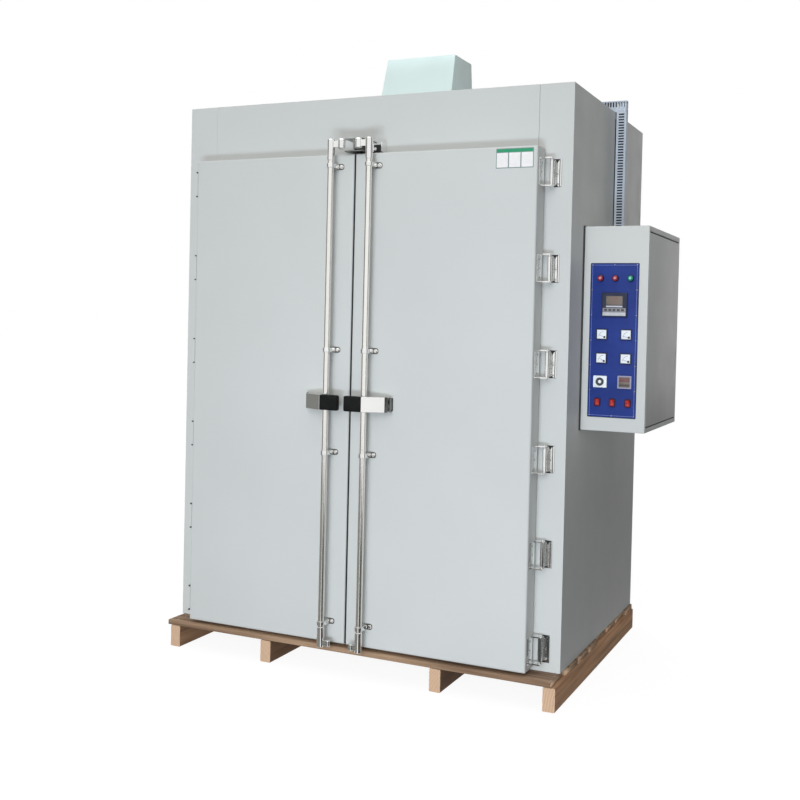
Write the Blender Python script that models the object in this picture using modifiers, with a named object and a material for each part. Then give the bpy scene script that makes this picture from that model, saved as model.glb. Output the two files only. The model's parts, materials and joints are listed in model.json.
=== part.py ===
"""A two-door industrial oven standing on its wooden pallet.

Metres, +Z up. Everything is drawn in the cabinet's own axes: x = 0 on the line where the doors meet, y = 0
on the body's front face, z = 0 on the floor, with -Y towards the person who opens the doors. One empty,
oven_frame, carries it all and moves the middle of the outer box's floor to the world's origin.
"""

import math

import bmesh
import bpy
from mathutils import Matrix, Vector

# Fits
seam = 0.0003            # between pieces that are bolted or laid together
run = 0.005              # between a piece that moves and what it passes
pin_play = 0.0005        # round a pin or a bar in its bore

# Pallet
bearer_width = 0.048
bearer_height = 0.090
bearer_inset_left = 0.0195   # from the deck's left edge to the first bearer's side
bearer_inset_right = 0.003   # from the deck's right edge to the last bearer's side
bearer_pitch_left = 0.4500   # from the first bearer to the second
bearer_pitch_right = 0.4515  # from the last bearer to the third
deck_thick = 0.022
deck_over_left = 0.004
deck_over_right = 0.016
deck_over_front = 0.105
deck_over_back = 0.006

# Insulated body
body_width = 1.708
body_depth = 1.150
body_height = 2.200
wall_thick = 0.100
roof_thick = 0.120
floor_thick = 0.100
stile_width = 0.1345     # of the strip that the side panel turns round to the front
front_thick = 0.100      # of the front strip, header and sill
header_height = 0.273
sill_height = 0.100
liner_thick = 0.0015

# Doors
door_thick = 0.088
door_side_margin = 0.1055    # from the body's side to the door's side
door_top_margin = 0.243      # from the body's top to the door's top
door_bottom_margin = 0.012
door_gap = 0.006             # between the two doors
door_edge_radius = 0.008
gasket_thick = 0.010
gasket_width = 0.020
gasket_inset = 0.003         # from the opening's edge to the gasket
pan_depth = 0.040
pan_margin_side = 0.030      # from the pan to the opening's jamb, sill and header
pan_margin_middle = 0.022
pan_chamfer = 0.012

# Hinges, six on each door
hinge_count = 6
hinge_height = 0.107
hinge_end_low = 0.0765       # from the door's bottom to the lowest hinge's middle
hinge_end_high = 0.0915      # from the highest hinge's middle to the door's top
hinge_sheet = 0.003
hinge_pin_out = 0.0335       # from the door's side to the pin's axis
hinge_pin_front = 0.030      # from the body's front to the pin's axis
hinge_pin_radius = 0.005
hinge_barrel_radius = 0.0075
hinge_eye_radius = 0.010
hinge_plate_near = 0.014     # from the pin's axis to the plate's near edge, inboard
hinge_plate_far = 0.030      # from the pin's axis to the plate's far edge, outboard
hinge_web_front = 0.047      # from the pin's axis to the door leaf's front edge
hinge_web_back = 0.017       # from the pin's axis to the door leaf's back edge
hinge_leaf_play = 0.001      # between the two leaves' ears
hinge_notch_near = 0.0015    # from the pin's axis to the notch beside the barrel
hinge_notch_tip = 0.0065
hinge_notch_far = 0.0155
hinge_notch_top = 0.016      # deep, in the plate's top edge
hinge_notch_bottom = 0.009
hinge_rim = 0.003            # wide, on the plate's outer edge, and as proud of the plate

# Lock bars
bar_place = 0.084            # from the middle line to a bar's axis
bar_stand_off = 0.048        # from the door's face to a bar's axis
bar_radius = 0.0115
bar_under_door = 0.006       # from the door's bottom down to the bar's end
bar_over_door = 0.051        # from the door's top up to the bar's end
sleeve_radius = 0.0145
top_sleeve_length = 0.082
bottom_sleeve_length = 0.079
cam_hub_radius = 0.0175
cam_tip_radius = 0.007
top_cam_length = 0.055
top_cam_over_door = 0.015    # from the door's top to the cam's underside
top_cam_height = 0.034
bottom_cam_length = 0.036
bottom_cam_under_door = 0.002    # from the door's bottom to the cam's underside
bottom_cam_height = 0.024
crank_length = 0.022
crank_height = 0.020
crank_hub_radius = 0.012
crank_tip_radius = 0.005
guide_end_low = 0.087        # from the door's bottom to the lowest guide's middle
guide_end_high = 0.051       # from the highest guide's middle to the door's top
guide_under_handle = 0.202   # from the handle's level to the guide below it
guide_over_handle = 0.205
guide_height = 0.016
guide_wall = 0.0040
guide_foot_length = 0.072
guide_foot_height = 0.024
guide_foot_thick = 0.003

# Handles
handle_level = 0.965         # above the door's bottom
grip_inner = 0.0195          # from the middle line to the grip's free end
grip_outer = 0.0922
grip_front = 0.087           # from the door's face
grip_thick = 0.022
grip_height = 0.054
grip_round = 0.006
lever_height = 0.060
lever_sheet = 0.002
lever_bend = (0.173, 0.0465)     # where the front turns down: from the middle line, and from the door's face
lever_lip = (0.185, 0.031)       # the turned-down edge
lever_pivot = (0.183, 0.016)
lever_eye_radius = 0.009
lever_notch = 0.006              # between the lever's ears and the bar
bracket_sheet = 0.003
bracket_half_length = 0.022
bracket_pin_radius = 0.004
bracket_play = 0.0015

# Keeper and bracket on the header, above the doors
keeper_sheet = 0.004
keeper_half_back = 0.045
keeper_half_front = 0.040
keeper_reach = 0.118
keeper_web = 0.006
header_bracket_place = (0.053, 0.091)
header_bracket_over_door = 0.012
header_bracket_height = 0.036
header_bracket_reach = 0.050
header_bracket_sheet = 0.003

# Control box on the right side, and what is on it
box_width = 0.2507
box_depth = 0.603
box_height = 0.783
box_set_back = 0.177         # behind the body's front
box_low = 0.899              # above the body's bottom
cover_margin_side = 0.015
cover_margin_top = 0.023
cover_margin_bottom = 0.020
cover_recess = 0.003
cover_joint = 0.0015
panel_left = 0.030           # from the body's side to the panel
panel_width = 0.187
panel_low = 0.952
panel_height = 0.589
panel_thick = 0.002
controller_middle = (0.1265, 1.382)      # from the body's side, and above the body's bottom
controller_size = (0.098, 0.092, 0.010)
meter_size = (0.043, 0.041, 0.008)
meter_columns = (0.0805, 0.1740)
meter_rows = (1.2695, 1.1785)
buzzer_middle = (0.0780, 1.0885)
buzzer_size = (0.052, 0.045, 0.006)
buzzer_ring_radius = 0.0155
buzzer_ring_proud = 0.005
timer_middle = (0.1725, 1.0895)
timer_size = (0.053, 0.049, 0.009)
lamp_columns = (0.0700, 0.1270, 0.1850)
lamp_level = 1.483
lamp_radius = 0.0125
lamp_lens_radius = 0.0095
lamp_proud = 0.014
switch_columns = (0.0690, 0.1265, 0.1860)
switch_level = 1.010
switch_size = (0.024, 0.032, 0.006)
rocker_size = (0.016, 0.024)
rocker_proud = 0.005

# Wiring trunking and roof housing
trunk_width = 0.0457
trunk_thick = 0.030
trunk_set_back = 0.620
trunk_over_roof = 0.047
slot_pitch = 0.0114
slot_width = 0.005
slot_from_base = 0.0137      # from the trunking's back to its slots
slot_to_cover = 0.0087       # from the slots to the riser's cover
slot_to_lid = 0.005          # from the slots to the top of the run on the roof
slot_length_on_roof = 0.021
slot_from_end = 0.010        # from a trunking's end to its last slot's middle
hood_base = (0.346, 0.289)
hood_top = (0.326, 0.198)
hood_height = 0.274
hood_front = 0.436           # of its base, behind the body's front
hood_top_front = 0.515

# Worked out from the values above
deck_top = bearer_height + deck_thick
body_low = deck_top + seam
body_high = body_low + body_height
half_width = body_width / 2
jamb = half_width - stile_width
inner_half = half_width - wall_thick
opening_low = body_low + sill_height
opening_high = body_high - header_height
door_side = half_width - door_side_margin
door_low = body_low + door_bottom_margin
door_high = body_high - door_top_margin
door_back = -gasket_thick
door_face = door_back - door_thick
pin_x = door_side + hinge_pin_out
pin_y = -hinge_pin_front
bar_y = door_face - bar_stand_off
handle_z = door_low + handle_level
bar_low = door_low - bar_under_door
bar_high = door_high + bar_over_door
top_cam_low = door_high + top_cam_over_door
bottom_cam_low = door_low - bottom_cam_under_door
hinge_pitch = (door_high - hinge_end_high - door_low - hinge_end_low) / (hinge_count - 1)
deck_left = -half_width - deck_over_left
deck_right = half_width + deck_over_right
box_x = half_width + seam
box_face = box_set_back
panel_face = box_face - seam - panel_thick

arc_steps = 6            # facets in a quarter turn

parts = bpy.data.collections.new("industrial_oven")
cutters = bpy.data.collections.new("cutters")
pivots = {}


def clear_scene():
    for obj in list(bpy.data.objects):
        bpy.data.objects.remove(obj, do_unlink=True)
    bpy.context.scene.collection.children.link(parts)
    bpy.context.scene.collection.children.link(cutters)
    cutters.hide_render = True


def material(name, colour, roughness, metallic=0.0):
    made = bpy.data.materials.new(name)
    made.use_nodes = True
    shader = made.node_tree.nodes["Principled BSDF"]
    shader.inputs["Base Color"].default_value = (*colour, 1.0)
    shader.inputs["Roughness"].default_value = roughness
    shader.inputs["Metallic"].default_value = metallic
    made.diffuse_color = (*colour, 1.0)
    return made


def raw(name, mesh):
    """An object that is still a blank: its mesh is in the cabinet's axes and it lies at their origin."""
    obj = bpy.data.objects.new(name, mesh)
    cutters.objects.link(obj)
    return obj


def blocks(name, corners):
    """A row of boxes in one object, each between two corners."""
    bm = bmesh.new()
    for low, high in corners:
        low, high = Vector(low), Vector(high)
        made = bmesh.ops.create_cube(bm, size=1.0)["verts"]
        bmesh.ops.scale(bm, vec=high - low, verts=made)
        bmesh.ops.translate(bm, vec=(low + high) / 2, verts=made)
    mesh = bpy.data.meshes.new(name)
    bm.to_mesh(mesh)
    bm.free()
    return raw(name, mesh)


def block(name, low, high):
    return blocks(name, [(low, high)])


def realised(obj):
    """The same object with its modifiers applied, its doubles merged and its faces turned out."""
    bpy.context.view_layer.update()
    graph = bpy.context.evaluated_depsgraph_get()
    mesh = bpy.data.meshes.new_from_object(obj.evaluated_get(graph))
    bm = bmesh.new()
    bm.from_mesh(mesh)
    bmesh.ops.remove_doubles(bm, verts=bm.verts, dist=0.00001)
    bmesh.ops.recalc_face_normals(bm, faces=bm.faces)
    bm.to_mesh(mesh)
    bm.free()
    made = raw(obj.name + "_solid", mesh)
    name = obj.name
    bpy.data.objects.remove(obj, do_unlink=True)
    made.name = name
    return made


def prism(name, outline, low, high, holes=(), turn=None):
    """A flat outline with its holes, extruded from low to high along Z, then turned by a matrix."""
    curve = bpy.data.curves.new(name, "CURVE")
    curve.dimensions = "2D"
    curve.fill_mode = "BOTH"
    curve.extrude = (high - low) / 2
    for loop in (outline, *holes):
        spline = curve.splines.new("POLY")
        spline.points.add(len(loop) - 1)
        for point, (x, y) in zip(spline.points, loop):
            point.co = (x, y, 0.0, 1.0)
        spline.use_cyclic_u = True
    obj = realised(raw(name, curve))
    obj.data.transform(Matrix.Translation((0, 0, (low + high) / 2)))
    if turn is not None:
        obj.data.transform(turn)
    return obj


def arc(centre, radius, start_deg, end_deg, steps=arc_steps):
    """Points on a circle's arc, both ends among them."""
    angles = [math.radians(start_deg + (end_deg - start_deg) * i / steps) for i in range(steps + 1)]
    return [(centre[0] + radius * math.cos(a), centre[1] + radius * math.sin(a)) for a in angles]


def circle(centre, radius, steps=4 * arc_steps):
    return arc(centre, radius, 0, 360, steps)[:-1]


def rod(name, centre, radius, low, high, steps=3 * arc_steps):
    """An upright cylinder."""
    bm = bmesh.new()
    bmesh.ops.create_cone(bm, cap_ends=True, segments=steps, radius1=radius, radius2=radius, depth=high - low)
    bmesh.ops.translate(bm, vec=(*centre, (low + high) / 2), verts=bm.verts)
    mesh = bpy.data.meshes.new(name)
    bm.to_mesh(mesh)
    bm.free()
    return raw(name, mesh)


def turned(name, profile, centre, steps=3 * arc_steps):
    """A profile of (radius, height) pairs, from top to bottom, turned about an upright line."""
    mesh = bpy.data.meshes.new(name)
    bm = bmesh.new()
    verts = [bm.verts.new((radius, 0.0, height)) for radius, height in profile]
    for first, second in zip(verts, verts[1:]):
        bm.edges.new((first, second))
    bm.to_mesh(mesh)
    bm.free()
    obj = raw(name, mesh)
    screw = obj.modifiers.new("turn", "SCREW")
    screw.steps = steps
    screw.render_steps = steps
    screw.use_merge_vertices = True
    screw.merge_threshold = 0.00001
    obj = realised(obj)
    obj.data.transform(Matrix.Translation((*centre, 0.0)))
    return obj


def ribbon(line, thick):
    """The outline of a sheet of even thickness, bent along a line of points, to the left of the line."""
    points = [Vector(point) for point in line]
    runs = [(after - before).normalized() for before, after in zip(points, points[1:])]
    normals = [Vector((-step.y, step.x)) for step in runs]
    inner = [points[0] + normals[0] * thick]
    for before, after, point in zip(normals, normals[1:], points[1:-1]):
        middle = (before + after).normalized()
        inner.append(point + middle * thick / middle.dot(after))
    inner.append(points[-1] + normals[-1] * thick)
    return [tuple(point) for point in points + inner[::-1]]


def mirrored(outline, side):
    """An outline drawn for the right side, or its mirror image for the left."""
    return [(side * x, y) for x, y in outline]


def reflected(obj):
    """A blank made for the right side, moved to the left one."""
    obj.data.transform(Matrix.Scale(-1.0, 4, (1, 0, 0)))
    obj.data.flip_normals()
    return obj


def flat_faces_whole(obj):
    """Makes each flat face whole again after a union, then cuts it into well-shaped triangles."""
    bm = bmesh.new()
    bm.from_mesh(obj.data)
    bmesh.ops.dissolve_limit(bm, angle_limit=math.radians(0.1), verts=bm.verts, edges=bm.edges)
    bmesh.ops.triangulate(bm, faces=bm.faces, quad_method="BEAUTY", ngon_method="BEAUTY")
    bm.to_mesh(obj.data)
    bm.free()
    return obj


def fused(name, base, others, cut=(), solver="EXACT"):
    """One solid from overlapping pieces, with the cutters taken out of it."""
    for other in others:
        join = base.modifiers.new("join", "BOOLEAN")
        join.operation = "UNION"
        join.solver = solver
        join.object = other
    for cutter in cut:
        away = base.modifiers.new("cut", "BOOLEAN")
        away.operation = "DIFFERENCE"
        away.object = cutter
    base.name = name
    made = flat_faces_whole(realised(base))
    for tool in (*others, *cut):
        bpy.data.objects.remove(tool, do_unlink=True)
    return made


def rounded(obj, width, segments=2):
    """Every sharp edge of the piece is rounded."""
    bevel = obj.modifiers.new("round", "BEVEL")
    bevel.width = width
    bevel.segments = segments
    bevel.limit_method = "ANGLE"
    bevel.angle_limit = math.radians(40)
    return obj


def pivot(name, place):
    """An empty on a joint's axis, or the frame's own."""
    empty = bpy.data.objects.new(name, None)
    empty.empty_display_size = 0.05
    parts.objects.link(empty)
    pivots[name] = Vector(place)
    return empty


def finish(obj, look, parent, origin=None):
    """Gives a blank its material, its own origin and its parent, and puts it among the parts."""
    corners = [Vector(corner) for corner in obj.bound_box]
    origin = Vector(origin) if origin is not None else sum(corners, Vector()) / 8
    obj.data.transform(Matrix.Translation(-origin))
    obj.data.materials.clear()
    obj.data.materials.append(look)
    obj.data.shade_smooth()
    obj.data.set_sharp_from_angle(angle=math.radians(35))
    cutters.objects.unlink(obj)
    parts.objects.link(obj)
    obj.parent = parent
    obj.location = origin - pivots[parent.name]
    return obj


def pallet(frame):
    """A deck of boards on four bearers. The deck is one slab here."""
    front = -deck_over_front
    back = body_depth + deck_over_back
    deck = block("pallet_deck", (deck_left, front, bearer_height + seam), (deck_right, back, deck_top))
    finish(deck, wood, frame)
    first = deck_left + bearer_inset_left + bearer_width / 2
    last = deck_right - bearer_inset_right - bearer_width / 2
    places = (first, first + bearer_pitch_left, last - bearer_pitch_right, last)
    for number, place in enumerate(places, 1):
        low = (place - bearer_width / 2, front, 0.0)
        high = (place + bearer_width / 2, back, bearer_height)
        finish(block(f"pallet_bearer_{number}", low, high), wood, frame)


def side_wall(name, side, frame):
    """A side panel with the strip that it turns round to the front, beside the door opening."""
    outline = [
        (half_width, 0.0),
        (half_width, body_depth),
        (inner_half, body_depth),
        (inner_half, front_thick),
        (jamb, front_thick),
        (jamb, 0.0),
    ]
    finish(prism(name, mirrored(outline, side), body_low, body_high), paint, frame)


def body(frame):
    side_wall("wall_left", -1, frame)
    side_wall("wall_right", 1, frame)
    half = inner_half - seam
    inside_front = front_thick + seam
    inside_back = body_depth - wall_thick - seam
    back = block("wall_back", (-half, body_depth - wall_thick, body_low), (half, body_depth, body_high))
    roof = block("roof_panel", (-half, inside_front, body_high - roof_thick), (half, inside_back, body_high))
    floor = block("floor_panel", (-half, inside_front, body_low), (half, inside_back, body_low + floor_thick))
    for piece in (back, roof, floor):
        finish(piece, paint, frame)
    half = jamb - seam
    finish(block("header", (-half, 0.0, opening_high), (half, front_thick, body_high)), paint, frame)
    finish(block("sill", (-half, 0.0, body_low), (half, front_thick, opening_low)), paint, frame)


def chamber_liner(frame):
    """The stainless box inside the walls, open at the front."""
    low = (-inner_half + seam * 2, front_thick + seam * 2, body_low + floor_thick + seam)
    high = (inner_half - seam * 2, body_depth - wall_thick - seam, body_high - roof_thick - seam)
    liner = block("chamber_liner", low, high)
    bm = bmesh.new()
    bm.from_mesh(liner.data)
    bmesh.ops.delete(bm, geom=[face for face in bm.faces if face.normal.y < -0.5], context="FACES")
    bm.to_mesh(liner.data)
    bm.free()
    sheet = liner.modifiers.new("sheet", "SOLIDIFY")
    sheet.thickness = liner_thick
    sheet.offset = -1.0
    sheet.use_even_offset = True
    finish(liner, stainless, frame)


def gasket(frame):
    """The seal on the body's front, all round the door opening."""
    inner = jamb + gasket_inset
    low = opening_low - gasket_inset
    high = opening_high + gasket_inset
    hole = [(-inner, low), (inner, low), (inner, high), (-inner, high)]
    wide = gasket_width
    outline = [
        (-inner - wide, low - wide),
        (inner + wide, low - wide),
        (inner + wide, high + wide),
        (-inner - wide, high + wide),
    ]
    upright = Matrix.Rotation(math.radians(90), 4, "X")
    seal = prism("door_gasket", outline, seam, gasket_thick - seam, holes=[hole], turn=upright)
    finish(seal, silicone, frame)


def hinge_levels():
    return [door_low + hinge_end_low + hinge_pitch * i for i in range(hinge_count)]


def guide_levels():
    beside_handle = (handle_z - guide_under_handle, handle_z + guide_over_handle)
    return (door_low + guide_end_low, *beside_handle, door_high - guide_end_high)


def body_leaf(name, side):
    """The hinge leaf on the body: notched plate with a rim, two ears, barrel and pin, about z = 0."""
    half = hinge_height / 2 - hinge_sheet - hinge_leaf_play
    near = pin_x - hinge_plate_near
    far = pin_x + hinge_plate_far
    front = -seam - hinge_sheet
    plate_outline = [
        (near, -half),
        (pin_x + hinge_notch_near, -half),
        (pin_x + hinge_notch_tip, -half + hinge_notch_bottom),
        (pin_x + hinge_notch_far, -half),
        (far, -half),
        (far, half),
        (pin_x + hinge_notch_far, half),
        (pin_x + hinge_notch_tip, half - hinge_notch_top),
        (pin_x + hinge_notch_near, half),
        (near, half),
    ]
    upright = Matrix.Rotation(math.radians(90), 4, "X")
    plate = prism(name, plate_outline, seam, seam + hinge_sheet, turn=upright)
    rim = block("rim", (far - hinge_rim, front - hinge_rim, -half + 0.001), (far, front + 0.001, half - 0.001))
    ear = [
        (near + 0.004, front + hinge_sheet / 2),
        *arc((pin_x, pin_y), hinge_eye_radius - 0.001, 180, 360),
        (pin_x + hinge_notch_near - 0.001, front + hinge_sheet / 2),
    ]
    ears = [
        prism("ear", ear, low, low + hinge_sheet)
        for low in (-half + 0.0005, half - hinge_sheet - 0.0005)
    ]
    barrel = rod("barrel", (pin_x, pin_y), hinge_barrel_radius, -half + 0.001, half - 0.001)
    reach = hinge_height / 2 + hinge_sheet * 0.8
    pin = rod("pin", (pin_x, pin_y), hinge_pin_radius, -reach, reach, 2 * arc_steps)
    leaf = fused(name, plate, [rim, *ears, barrel, pin])
    return reflected(leaf) if side < 0 else leaf


def door_leaf(name):
    """The right door's hinge leaf: a channel whose two ears carry the pin's eyes, about z = 0."""
    half = hinge_height / 2
    front = pin_y - hinge_web_front
    back = pin_y + hinge_web_back
    root = door_side - 0.001
    web_face = door_side + hinge_sheet
    ear = [
        (root, back),
        (root, front),
        (web_face + 0.002, front),
        *arc((pin_x, pin_y), hinge_eye_radius, -60, 110),
        (web_face + 0.006, back),
    ]
    eye = circle((pin_x, pin_y), hinge_pin_radius + pin_play, 2 * arc_steps)
    web = block(name, (root, front, -half), (web_face, back, half))
    ears = [
        prism("ear", ear, low, low + hinge_sheet, holes=[eye])
        for low in (-half, half - hinge_sheet)
    ]
    return fused(name, web, ears)


def hinges(side, tag, frame):
    """The six leaves on the body, which share one mesh. The door's own leaves come with the door."""
    first = body_leaf(f"hinge_{tag}_1", side)
    for number, level in enumerate(hinge_levels(), 1):
        leaf = first if number == 1 else raw(f"hinge_{tag}_{number}", first.data)
        if number == 1:
            finish(leaf, chrome, frame, origin=(side * pin_x, pin_y, 0.0))
        else:
            cutters.objects.unlink(leaf)
            parts.objects.link(leaf)
            leaf.parent = frame
        leaf.location = Vector((side * pin_x, pin_y, level)) - pivots[frame.name]


def bar_guide(level):
    """A foot on the right door and a lug with the bore that the lock bar turns in."""
    middle = bar_place
    bore = bar_radius + pin_play
    outer = bore + guide_wall
    foot = block(
        "guide",
        (middle - guide_foot_length / 2, door_face - guide_foot_thick, level - guide_foot_height / 2),
        (middle + guide_foot_length / 2, door_face + 0.001, level + guide_foot_height / 2),
    )
    lug_outline = [
        (middle + outer, door_face - 0.001),
        (middle - outer, door_face - 0.001),
        *arc((middle, bar_y), outer, 180, 360),
    ]
    lug = prism(
        "lug",
        lug_outline,
        level - guide_height / 2,
        level + guide_height / 2,
        holes=[circle((middle, bar_y), bore, 3 * arc_steps)],
    )
    return [foot, lug]


def lever_bracket(side, tag, hinge):
    """The foot, two ears and pin on the door that the handle's lever turns on."""
    middle_x = lever_pivot[0]
    middle_y = door_face - lever_pivot[1]
    inside = lever_height / 2 - lever_sheet - bracket_play
    back = door_face - seam
    foot = block(
        f"{tag}_handle_bracket",
        (middle_x - bracket_half_length, back - bracket_sheet, handle_z - inside),
        (middle_x + bracket_half_length, back, handle_z + inside),
    )
    ear = [
        (middle_x + lever_eye_radius, back - 0.001),
        (middle_x - lever_eye_radius, back - 0.001),
        *arc((middle_x, middle_y), lever_eye_radius, 180, 360),
    ]
    ears = [
        prism("ear", ear, handle_z + low, handle_z + low + bracket_sheet)
        for low in (-inside + 0.0005, inside - bracket_sheet - 0.0005)
    ]
    reach = lever_height / 2 + 0.0015
    pin = rod("pin", (middle_x, middle_y), bracket_pin_radius, handle_z - reach, handle_z + reach, 2 * arc_steps)
    bracket = fused(foot.name, foot, [*ears, pin])
    if side < 0:
        reflected(bracket)
    finish(bracket, chrome, hinge)


def door(side, tag, hinge):
    """The door slab with its hinge leaves and bar guides, and the pan on its inner side."""
    middle = door_gap / 2
    radius = door_edge_radius
    outline = [
        (door_side, door_back),
        *arc((door_side - radius, door_face + radius), radius, 0, -90),
        *arc((middle + radius, door_face + radius), radius, -90, -180),
        (middle, door_back),
    ]
    slab = prism(f"{tag}_door", outline, door_low, door_high)
    fittings = []
    pattern = door_leaf("door_leaf")
    for level in hinge_levels():
        leaf = raw("door_leaf_copy", pattern.data.copy())
        leaf.data.transform(Matrix.Translation((0, 0, level)))
        fittings.append(leaf)
    bpy.data.objects.remove(pattern, do_unlink=True)
    for level in guide_levels():
        fittings += bar_guide(level)
    slab_and_fittings = fused(f"{tag}_door", slab, fittings, solver="MANIFOLD")
    if side < 0:
        reflected(slab_and_fittings)
    finish(slab_and_fittings, paint, hinge, origin=pivots[hinge.name])

    ends = sorted((side * (middle + pan_margin_middle), side * (jamb - pan_margin_side)))
    pan = block(
        f"{tag}_door_pan",
        (ends[0], door_back + seam, opening_low + pan_margin_side),
        (ends[1], door_back + pan_depth, opening_high - pan_margin_side),
    )
    finish(rounded(pan, pan_chamfer, 1), stainless, hinge)


def lock_bar(side, tag, bearing):
    """A bar with thicker ends, a cam at each end and the crank that the handle drives."""
    axis = (bar_place, bar_y)
    profile = [
        (0.0, bar_high),
        (sleeve_radius - 0.001, bar_high),
        (sleeve_radius, bar_high - 0.001),
        (sleeve_radius, bar_high - top_sleeve_length),
        (bar_radius, bar_high - top_sleeve_length),
        (bar_radius, bar_low + bottom_sleeve_length),
        (sleeve_radius, bar_low + bottom_sleeve_length),
        (sleeve_radius, bar_low + 0.001),
        (sleeve_radius - 0.001, bar_low),
        (0.0, bar_low),
    ]
    bar = turned(f"{tag}_lock_bar", profile, axis)
    arms = []
    for length, bottom, height, hub, tip in (
        (-top_cam_length, top_cam_low, top_cam_height, cam_hub_radius, cam_tip_radius),
        (-bottom_cam_length, bottom_cam_low, bottom_cam_height, cam_hub_radius, cam_tip_radius),
        (crank_length, handle_z - crank_height / 2, crank_height, crank_hub_radius, crank_tip_radius),
    ):
        toward = 180 if length < 0 else 0
        outline = [
            *arc((bar_place, bar_y), hub, toward + 80, toward + 280),
            *arc((bar_place + length, bar_y), tip, toward - 80, toward + 80),
        ]
        arms.append(prism("arm", outline, bottom, bottom + height))
    bar_and_arms = fused(bar.name, bar, arms)
    if side < 0:
        reflected(bar_and_arms)
    finish(bar_and_arms, chrome, bearing, origin=pivots[bearing.name])


def handle(side, tag, hinge):
    """A folded lever with two ears, a turned-down lip and a plate that closes its end against the grip."""
    inner = (grip_outer + seam, door_face - grip_front)
    bend = (lever_bend[0], door_face - lever_bend[1])
    lip = (lever_lip[0], door_face - lever_lip[1])
    eye = (lever_pivot[0], door_face - lever_pivot[1])
    clear = bar_place + bar_radius + lever_notch
    front_of_bar = bar_y - bar_radius - lever_notch
    ear = [
        inner,
        bend,
        lip,
        *arc(eye, lever_eye_radius, -20, 120),
        (clear + 0.012, eye[1] + 0.004),
        (clear, front_of_bar + 0.030),
        (clear, front_of_bar),
        (inner[0], front_of_bar),
    ]
    bore = [circle((side * eye[0], eye[1]), bracket_pin_radius + pin_play, 2 * arc_steps)]
    half = lever_height / 2
    sheet = ribbon([inner, bend, lip], lever_sheet)
    front = prism(f"{tag}_handle_lever", mirrored(sheet, side), handle_z - half, handle_z + half)
    ears = [
        prism("ear", mirrored(ear, side), handle_z + low, handle_z + low + lever_sheet, holes=bore)
        for low in (-half, half - lever_sheet)
    ]
    ends = sorted((side * inner[0], side * (inner[0] + lever_sheet)))
    end_plate = block(
        "end_plate",
        (ends[0], inner[1] + lever_sheet / 2, handle_z - half + lever_sheet / 2),
        (ends[1], front_of_bar - 0.0005, handle_z + half - lever_sheet / 2),
    )
    lever = fused(front.name, front, [*ears, end_plate])
    finish(lever, chrome, hinge, origin=pivots[hinge.name])
    ends = sorted((side * grip_inner, side * grip_outer))
    grip = block(
        f"{tag}_handle_grip",
        (ends[0], door_face - grip_front, handle_z - grip_height / 2),
        (ends[1], door_face - grip_front + grip_thick, handle_z + grip_height / 2),
    )
    finish(rounded(grip, grip_round, 3), black, hinge)


def keeper(frame):
    """The fork on the header whose two plates lie above and below the bars' top cams."""
    low = top_cam_low - run - keeper_sheet
    high = top_cam_low + top_cam_height + run + keeper_sheet
    plan = [
        (-keeper_half_back, -0.001),
        (-keeper_half_front, -keeper_reach),
        (keeper_half_front, -keeper_reach),
        (keeper_half_back, -0.001),
    ]
    back = block(
        "cam_keeper",
        (-keeper_half_back, -keeper_sheet - seam, low),
        (keeper_half_back, -seam, high),
    )
    plates = [
        prism("plate", plan, bottom, bottom + keeper_sheet)
        for bottom in (low, high - keeper_sheet)
    ]
    web = block(
        "web",
        (-keeper_web / 2, -keeper_reach + 0.004, low + 0.001),
        (keeper_web / 2, -0.001, high - 0.001),
    )
    finish(fused("cam_keeper", back, [*plates, web]), chrome, frame)


def header_bracket(frame):
    left, right = header_bracket_place
    low = door_high + header_bracket_over_door
    high = low + header_bracket_height
    line = [(left, -header_bracket_reach), (left, -seam), (right, -seam), (right, -header_bracket_reach)]
    outline = ribbon(line, -header_bracket_sheet)
    finish(prism("header_bracket", outline, low, high), chrome, frame)


def control_box(frame):
    low = (box_x, box_face, body_low + box_low)
    high = (box_x + box_width, box_face + box_depth, body_low + box_low + box_height)
    shell = block("control_box", low, high)
    pocket_low = (high[0] - cover_recess, low[1] + cover_margin_side, low[2] + cover_margin_bottom)
    pocket_high = (high[0] + 0.01, high[1] - cover_margin_side, high[2] - cover_margin_top)
    pocket = block("pocket", pocket_low, pocket_high)
    finish(fused("control_box", shell, [], [pocket]), paint, frame)
    cover = block(
        "control_box_cover",
        (pocket_low[0] + seam, pocket_low[1] + cover_joint, pocket_low[2] + cover_joint),
        (high[0], pocket_high[1] - cover_joint, pocket_high[2] - cover_joint),
    )
    finish(cover, paint, frame)


def on_panel(name, middle, size, round_by=0.0015):
    """A rectangular instrument that stands proud of the panel."""
    x = half_width + middle[0]
    z = body_low + middle[1]
    back = panel_face - seam
    low = (x - size[0] / 2, back - size[2], z - size[1] / 2)
    high = (x + size[0] / 2, back, z + size[1] / 2)
    return rounded(block(name, low, high), round_by, 2)


def facing_front(obj, middle, proud=0.0):
    """Turns a piece made about +Z so that it faces the front, and seats it on the panel."""
    obj.data.transform(Matrix.Rotation(math.radians(90), 4, "X"))
    place = (half_width + middle[0], panel_face - seam - proud, body_low + middle[1])
    obj.data.transform(Matrix.Translation(place))
    return obj


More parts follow.
